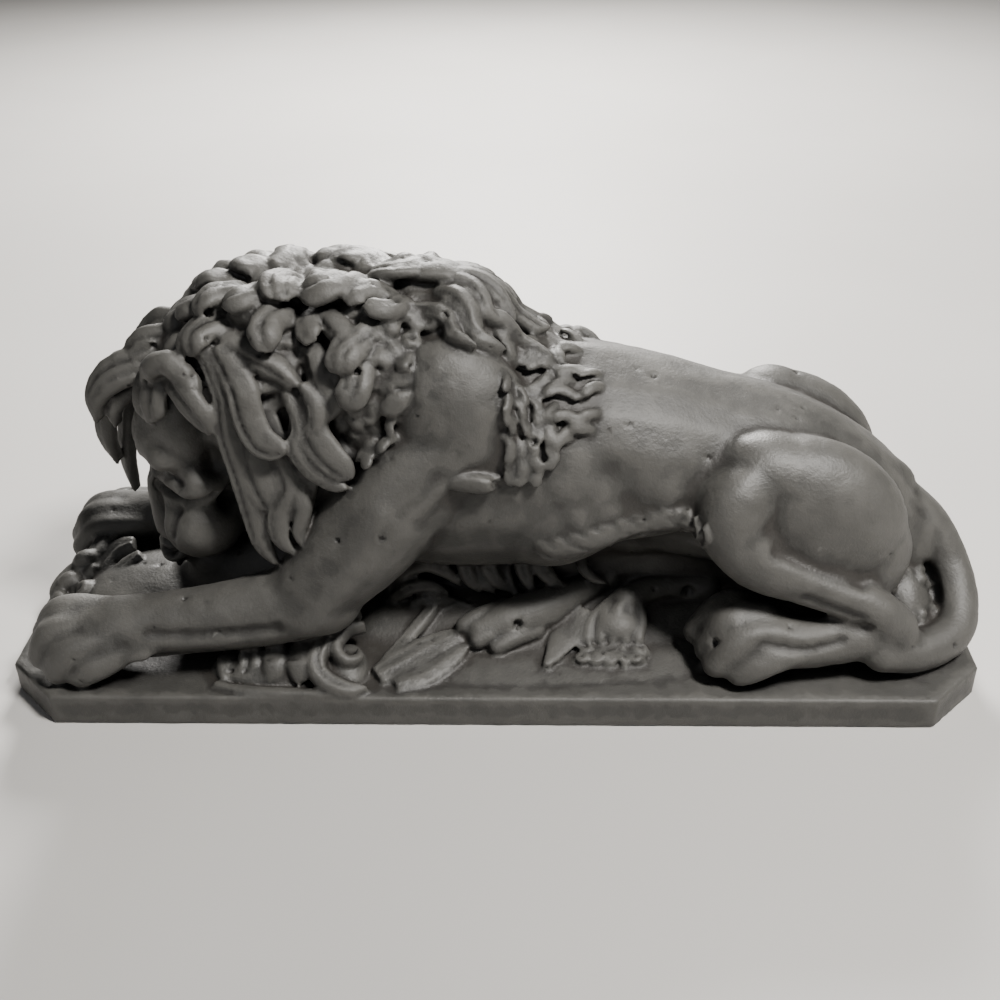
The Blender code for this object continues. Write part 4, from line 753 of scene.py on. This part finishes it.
def trophies(coat):
    """A rolled cloth, a tassel on its cord before a corner of cloth, and a broken shaft."""
    coat.clay.limb([(-2, -18.5, 3.6, 3.8), (5, -16.5, 5.4, 4.6), (12, -13.5, 6.6, 4.4),
                    (19, -9.5, 8, 3.2), (24, -6, 8.6, 2.8)])
    coat.clay.ball((25.5, -5.5, 9), (2.6, 3.4, 3.4))
    for x, y, z, size in ((-5.5, -18.5, 5.2, 2.1), (-2.5, -21.5, 3.6, 2.1), (1.5, -22.5, 2.6, 1.9)):
        coat.clay.limb([(x + 8, y + 4, z + 1.6, size), (x + 3, y + 1.4, z + 1, size),
                        (x, y, z, size * 0.9)])
    coat.clay.limb([(46, -7, 7, 2.9), (39, -7.5, 7.6, 2.7), (33, -9.5, 7.8, 2.8), (28.5, -12.5, 7, 3.4)])
    coat.clay.ball((26.5, -16, 4), (5.6, 5.4, 4))
    for k in range(5):
        spread = (k - 2) * 2.5
        coat.clay.limb([(28.5 + spread * 0.5, -12.5, 8.2, 1.1),
                        (26.5 + spread, -16.5, 7.2 - 0.35 * abs(spread), 1.35),
                        (25.5 + spread * 1.05, -20.5, 3.4, 1.3)])
        coat.curl((25.5 + spread * 1.1, -22.5, 2.6), 1.8, 60 * k)
        coat.curl((24.6 + spread * 1.1, -25, 1), 1.7, 80 * k)
    corner = [coat.floor(x, y, 0.8, 10) for x, y in ((19.5, -14), (15.5, -20), (11.5, -27.5))]
    coat.hang(corner, 11, 1.1, 1, blunt=1.4, facing=(0, 0, 1))
    level, outward = Vector((1, -0.12, -0.08)).normalized(), Vector((0, -1, 0))
    coat.clay.pebble(Vector((-3.4, -24.6, 43.8)), (5.4, 1.9, 1.7), level, outward)
    coat.lock([(-2, -25.4, 44.6), (2, -25.2, 44.4), (6, -24.4, 44.2), (9.5, -23.8, 44.6)], 1.6, 0.9, 1,
              rise=0.2, blunt=2)


def front_cloth(coat):
    """The crumpled cloth that lies between the forepaws, before the face."""
    for width, thickness, path in (
            (5, 1.6, [(-83, 16, 8.4), (-86.5, 15.5, 8.2), (-89.5, 11.5, 7.4), (-91, 7, 6.6),
                      (-91.5, 3.5, 5)]),
            (6, 1.8, [(-82, 8, 8), (-86, 7.5, 6.6), (-88.5, 3.5, 4.4), (-89.5, -1, 2.4)]),
            (5, 1.5, [(-79, 3, 8.4), (-83, 1, 6), (-85.5, -3, 3.6), (-86.5, -7, 1.6)]),
            (5.4, 1.7, [(-91, 6, 4), (-94, 3, 4.6), (-97, -1, 3), (-98.5, -4.5, 1)])):
        coat.hang(path, width, thickness, 2, blunt=6, facing=(-0.3, -0.3, 1))
    for x, y, z, size, start in ((-92.5, 4.5, 6, 2.6, 40), (-95, -0.5, 3.6, 2.4, 200),
                                 (-90, -3, 3, 2.2, 120), (-96.5, -4.5, 1.6, 2, 300)):
        coat.clay.ball((x, y, z), (size * 1.2, size * 0.9, size), (0, 0, start))
        coat.curl((x - 1, y - 1, z + 1), size, start)
    coat.clay.ball((-83, 0, 1), (9, 9, 5))


def rough_ground(coat):
    """The grit on the lump of earth inside the loop of the tail."""
    chance = random.Random(5)
    for k in range(40):
        x, z = chance.uniform(80, 92), chance.uniform(3, 14)
        place, out = coat.touch((x, -20 + 0.75 * z, z))
        size = chance.uniform(0.8, 1.4)
        coat.clay.ball(place - out * 0.3 * size, (size * 1.3, size, size))


def build_body():
    clay = Clay()
    for model in (torso, hindquarters, forelegs, head, mane_mass, tail, ground):
        model(clay)
    body = clay.to_object("lion")
    lay_skin(body, BODY_GRID, BODY_ROUNDS)
    model_muscles(body)
    return body


def carve(body, grid):
    """Lays the hair and the relief on the body and joins them to it under one skin."""
    coat = Coat(body)
    for lay in (forehead_locks, curtain, mane_ground, mane_sides, mane_top, shoulder_fringe, belly_fur,
                cloth, trophies, front_cloth, rough_ground):
        lay(coat)
    coat.clay.add(body.data.copy())
    bpy.data.objects.remove(body)
    carved = coat.clay.to_object("lion")
    lay_skin(carved, grid, CARVING_ROUNDS)
    model_face(carved, coat.surface)
    return carved


def lay_skin(obj, grid, rounds):
    """One closed skin over the object's forms, its joins softened."""
    skin = obj.modifiers.new("skin", "REMESH")
    skin.mode = "VOXEL"
    skin.voxel_size = grid / UNIT
    soften = obj.modifiers.new("soften", "SMOOTH")
    soften.iterations = rounds
    apply_modifiers(obj)


def apply_modifiers(obj):
    graph = bpy.context.evaluated_depsgraph_get()
    laid = bpy.data.meshes.new_from_object(obj.evaluated_get(graph))
    obj.modifiers.clear()
    old = obj.data
    obj.data = laid
    bpy.data.meshes.remove(old)


def make_plinth():
    """The block that the lion is cast on, its corners cut off and its upper rim a little worn."""
    shape = bmesh.new()
    size = Matrix.Diagonal((PLINTH_LENGTH, PLINTH_DEPTH, PLINTH_HEIGHT, 1))
    bmesh.ops.create_cube(shape, size=1, matrix=Matrix.Translation((0, 0, PLINTH_HEIGHT / 2)) @ size)
    upright = [e for e in shape.edges if abs(e.verts[0].co.z - e.verts[1].co.z) > PLINTH_HEIGHT / 2]
    bmesh.ops.bevel(shape, geom=upright, offset=CORNER_CUT, segments=1, affect="EDGES")
    rim = [e for e in shape.edges if min(v.co.z for v in e.verts) > PLINTH_HEIGHT / 2]
    bmesh.ops.bevel(shape, geom=rim, offset=PLINTH_EDGE, segments=1, affect="EDGES")
    return new_object("plinth", new_mesh("plinth", shape))
def cut_flat(lion, height):
    """Cuts off what lies below the height and closes the cut."""
    shape = bmesh.new()
    shape.from_mesh(lion.data)
    everything = [*shape.verts, *shape.edges, *shape.faces]
    bmesh.ops.bisect_plane(shape, geom=everything, plane_co=(0, 0, height), plane_no=(0, 0, -1),
                           clear_outer=True)
    keep_largest(shape)
    bmesh.ops.holes_fill(shape, edges=[e for e in shape.edges if e.is_boundary])
    bmesh.ops.triangulate(shape, faces=shape.faces)
    shape.to_mesh(lion.data)
    shape.free()


def keep_largest(shape):
    """Deletes every loose shell but the one with most faces."""
    unseen = set(shape.faces)
    shells = []
    for first in shape.faces:
        if first not in unseen:
            continue
        unseen.discard(first)
        shell, rim = [first], [first]
        while rim:
            for edge in rim.pop().edges:
                for face in edge.link_faces:
                    if face in unseen:
                        unseen.discard(face)
                        shell.append(face)
                        rim.append(face)
        shells.append(shell)
    shells.sort(key=len)
    for shell in shells[:-1]:
        bmesh.ops.delete(shape, geom=shell, context="FACES")


def press(lion, dents):
    """Presses round dents, each a place, a radius and a depth, and keeps the underside flat."""
    places, ways = places_of(lion)
    moved = places.copy()
    for place, radius, depth in dents:
        near = np.nonzero((np.abs(places - place) < 1.4 * radius).all(axis=1))[0]
        gaps = np.linalg.norm(places[near] - place, axis=1) / radius
        near, gaps = near[gaps < 1.25], gaps[gaps < 1.25]
        bowl = np.clip(1 - gaps ** 4, 0, 1)
        moved[near] -= ways[near] * (depth * bowl)[:, None]
    moved[:, 2] = np.maximum(moved[:, 2], 0)
    set_places(lion, moved)


def weather(lion):
    """The unevenness of a casting, strongest in the mane, its hollows and the air pits in its skin."""
    places, ways = places_of(lion)
    chance = random.Random(21)
    mane = np.clip((places[:, 2] - MANE_FOOT) / 6, 0, 1) * np.clip((2 - places[:, 0]) / 8, 0, 1)
    swell = [noise.noise(Vector(p) * 0.35) * (0.10 + 0.20 * hair)
             + noise.noise(Vector(p) * 0.8) * 0.10 * hair + noise.noise(Vector(p) * 1.3) * 0.035
             for p, hair in zip(places, mane)]
    set_places(lion, places + ways * np.array(swell)[:, None])
    places, ways = places_of(lion)
    dents = []
    for x, y, z, radius in HOLLOWS:
        gaps = np.linalg.norm(places - (x, y, z + PLINTH_HEIGHT / UNIT), axis=1)
        dents.append((places[gaps.argmin()], radius, 1.5 * radius))
    curly = (np.abs(places[:, 0] + 8) > 12) & (places[:, 0] < 20) & (places[:, 2] > MANE_FOOT)
    hair = np.nonzero(curly & (ways[:, 2] < 0.6))[0]
    for k in range(HAIR_PITS):
        radius = chance.uniform(0.4, 0.75)
        dents.append((places[chance.choice(hair)], radius, radius * 1.3))
    for k in range(AIR_PITS):
        radius = chance.choice(PIT_RADII)
        dents.append((places[chance.randrange(len(places))], radius, radius * 0.9))
    press(lion, dents)


def openness(places, ways, lion):
    """How much of the sky around it each place sees, as a share of a few rays sent out from it."""
    surface = surface_of(lion.data)
    chance = random.Random(11)
    rays = [Vector([chance.gauss(0, 1) for _ in range(3)]).normalized() for _ in range(RAYS)]
    seen = np.zeros(len(places))
    for k, (place, out) in enumerate(zip(places, ways)):
        start, out = Vector(place + out * RAY_START), Vector(out)
        for ray in rays:
            if surface.ray_cast(start, (out * 1.02 + ray).normalized(), RAY_LENGTH)[0] is None:
                seen[k] += 1 / RAYS
    return seen


def cavities(lion):
    """Stores how deep in a narrow and in a broad hollow each vertex lies, and how open it is, for the
    colour's dirt and painted shade.
    """
    places, ways = places_of(lion)
    edges = np.empty(len(lion.data.edges) * 2, np.int64)
    lion.data.edges.foreach_get("vertices", edges)
    first, second = edges.reshape(-1, 2).T
    count = np.bincount(edges, minlength=len(places))[:, None]

    def spread(values):
        total = np.stack([np.bincount(first, column[second], len(values))
                          + np.bincount(second, column[first], len(values)) for column in values.T], axis=1)
        return total / np.maximum(count, 1)

    smooth = places.copy()
    layers = []
    for rounds, depth in ((NARROW_ROUNDS, NARROW_DEPTH), (BROAD_ROUNDS, BROAD_DEPTH)):
        for _ in range(rounds):
            smooth = spread(smooth)
        layers.append(np.clip(0.5 + ((smooth - places) * ways).sum(axis=1) / depth, 0, 1))
    seen = openness(places, ways, lion)[:, None]
    for _ in range(OPEN_ROUNDS):
        seen = 0.5 * (seen + spread(seen))
    values = np.stack([*layers, seen[:, 0], np.ones(len(places))], axis=1)
    relief = lion.data.color_attributes.new("relief", "FLOAT_COLOR", "POINT")
    relief.data.foreach_set("color", values.ravel())


class Socket:
    """A shader value that plain arithmetic builds Math nodes from."""

    def __init__(self, shader, output):
        self.shader, self.output = shader, output

    def math(self, operation, first, second):
        values = {"Value": first, "Value_001": second}
        return self.shader.node("ShaderNodeMath", {"operation": operation}, values)["Value"]

    def __add__(self, other):
        return self.math("ADD", self, other)

    def __sub__(self, other):
        return self.math("SUBTRACT", self, other)

    def __rsub__(self, other):
        return self.math("SUBTRACT", other, self)

    def __mul__(self, other):
        return self.math("MULTIPLY", self, other)

    __radd__, __rmul__ = __add__, __mul__

    def over(self, low, high):
        """0 at low, 1 at high and smooth between, whichever of the two is the larger."""
        return self.shader.node("ShaderNodeMapRange", {"interpolation_type": "SMOOTHSTEP"},
                                {"Value": self, "From Min": low, "From Max": high})["Result"]


class Shader:
    """A material's node tree, with the few nodes that the finishes here need."""

    def __init__(self, name):
        self.material = bpy.data.materials.new(name)
        self.material.use_nodes = True
        self.tree = self.material.node_tree
        self.surface = self.tree.nodes["Principled BSDF"]
        self.place = self.node("ShaderNodeTexCoord", {}, {})["Object"]

    def fill(self, place, value):
        """Links the value to a node's socket, or sets it there where it is plain numbers."""
        if isinstance(value, Socket):
            self.tree.links.new(value.output, place)
        else:
            place.default_value = value

    def node(self, kind, settings, sockets):
        """Adds a node with its settings, then the values or links of its sockets, and gives its outputs."""
        made = self.tree.nodes.new(kind)
        for name, value in settings.items():
            setattr(made, name, value)
        for place in made.inputs:
            if place.identifier in sockets:
                self.fill(place, sockets[place.identifier])
        return {output.identifier: Socket(self, output) for output in made.outputs}

    def noise(self, scale, detail=4.0, roughness=0.55):
        sockets = {"Vector": self.place, "Scale": scale, "Detail": detail, "Roughness": roughness}
        return self.node("ShaderNodeTexNoise", {}, sockets)["Fac"]

    def grains(self, scale):
        return self.node("ShaderNodeTexVoronoi", {}, {"Vector": self.place, "Scale": scale})["Distance"]

    def mix(self, factor, first, second):
        """One colour over another by a factor."""
        sockets = {"Factor_Float": factor, "A_Color": first, "B_Color": second}
        return self.node("ShaderNodeMix", {"data_type": "RGBA"}, sockets)["Result_Color"]

    def finish(self, **values):
        """Gives the surface its values and returns the material."""
        for name, value in values.items():
            self.fill(self.surface.inputs[name.replace("_", " ")], value)
        return self.material


def concrete():
    """Dark cast concrete: cloudy grey, paler on rubbed ridges, brown dirt and painted shade in the hollows,
    near-black painted shade where little sky is seen, with pale grains.
    """
    shader = Shader("concrete")
    relief = shader.node("ShaderNodeVertexColor", {"layer_name": "relief"}, {})["Color"]
    parts = shader.node("ShaderNodeSeparateColor", {}, {"Color": relief})
    narrow, broad, seen = parts["Red"], parts["Green"], parts["Blue"]
    mottle = shader.noise(160, 4).over(0.3, 0.72)
    grains = shader.grains(1500)
    sandy = shader.noise(90).over(0.5, 0.7)
    tone = shader.mix(shader.noise(22, 5).over(0.35, 0.68), CEMENT, PALE_CEMENT)
    # Grooves and hollows darken as dirt and painted shade, and places that see little sky as painted shade
    for amount, colour in (
            (0.45 * mottle, MOTTLED_CEMENT),
            (0.4 * (0.5 * mottle + 0.5) * narrow.over(0.46, 0.1), RUBBED_CEMENT),
            (0.7 * narrow.over(0.56, 0.95), GROOVE_DIRT_AND_SHADE),
            (0.5 * broad.over(0.58, 1.0), HOLLOW_DIRT_AND_SHADE),
            (0.92 * seen.over(0.62, 0.12), PAINTED_DEEP_SHADE),
            (0.4 * grains.over(0.14, 0.05) * sandy, SAND_GRAIN)):
        tone = shader.mix(amount, tone, colour)
    height = 0.8 * shader.noise(1500, 4, 0.6) + 0.5 * shader.noise(520, 3) - 0.5 * grains.over(0.10, 0.0)
    grit = shader.node("ShaderNodeBump", {}, {"Height": height, "Strength": 0.6, "Distance": GRIT_DEPTH})
    return shader.finish(Base_Color=tone, Roughness=0.14 * shader.noise(45).over(0.3, 0.7) + 0.50,
                         Normal=grit["Normal"], Metallic=0.0)


def floor_paint():
    shader = Shader("pale floor")
    tone = shader.mix(shader.noise(6, 3).over(0.3, 0.7), *FLOOR_TONES)
    return shader.finish(Base_Color=tone, Roughness=0.55)


def make_floor():
    shape = bmesh.new()
    bmesh.ops.create_grid(shape, x_segments=4, y_segments=4, size=FLOOR_REACH)
    floor = new_object("floor", new_mesh("floor", shape))
    floor.data.materials.append(floor_paint())


def area_light(name, place, aim, size, power, colour):
    data = bpy.data.lights.new(name, "AREA")
    data.size, data.energy, data.color = size, power, colour
    light = new_object(name, data)
    light.location = place
    light.rotation_euler = (Vector(aim) - Vector(place)).to_track_quat("-Z", "Y").to_euler()


def light_and_camera():
    """Soft light from above in front and from behind, a weak fill, and the photograph's camera."""
    area_light("window", (0.24, -0.18, 0.51), (0.0, 0.0, 0.03), 0.10, 7.0, WARM_LIGHT)
    area_light("rim", (-0.02, 0.62, 0.40), (-0.02, 0.0, 0.06), 0.18, 15.0, WARM_LIGHT)
    area_light("fill", (-0.20, -0.50, 0.40), (0.0, 0.0, 0.04), 0.40, 0.45, COOL_LIGHT)
    world = bpy.data.worlds.new("studio")
    world.use_nodes = True
    background = world.node_tree.nodes["Background"].inputs
    background["Color"].default_value = ROOM_COLOUR
    background["Strength"].default_value = ROOM_STRENGTH
    bpy.context.scene.world = world
    data = bpy.data.cameras.new("camera")
    data.sensor_width, data.lens, data.clip_start = CAMERA_FILM, CAMERA_LENS, 0.01
    camera = new_object("camera", data)
    ahead, right = Vector(CAMERA_AHEAD).normalized(), Vector(CAMERA_RIGHT).normalized()
    turn = Matrix((right, right.cross(ahead), -ahead)).transposed()
    camera.matrix_world = Matrix.Translation(CAMERA_PLACE) @ turn.to_4x4()
    bpy.context.scene.camera = camera


def make_lion():
    """The carved lion and its plinth under one skin, thinned, with its hollows and openness noted for the
    finish's dirt and painted shade.
    """
    body, plinth = build_body(), make_plinth()
    plinth.data.transform(Matrix.Scale(1 / UNIT, 4) @ Matrix.Translation((0, 0, -PLINTH_HEIGHT)))
    shape = bmesh.new()
    for part in (body, plinth):
        shape.from_mesh(part.data)
    shape.to_mesh(body.data)
    shape.free()
    bpy.data.objects.remove(plinth)
    lion = carve(body, CARVING_GRID)
    lion.data.transform(Matrix.Translation((0, 0, PLINTH_HEIGHT / UNIT - FOOT_WEAR)))
    cut_flat(lion, 0)
    weather(lion)
    lion.data.transform(Matrix.Scale(UNIT, 4))
    thin = lion.modifiers.new("thin", "DECIMATE")
    lion.data.calc_loop_triangles()
    thin.ratio = MOST_TRIANGLES / len(lion.data.loop_triangles)
    apply_modifiers(lion)
    cavities(lion)
    lion.name = lion.data.name = "carved_lion"
    for face in lion.data.polygons:
        face.use_smooth = True
    lion.data.materials.clear()
    lion.data.materials.append(concrete())
    return lion


bpy.ops.object.select_all(action="DESELECT")
statue = make_lion()
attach(statue, "root")
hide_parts("lion_statue")
make_floor()
light_and_camera()
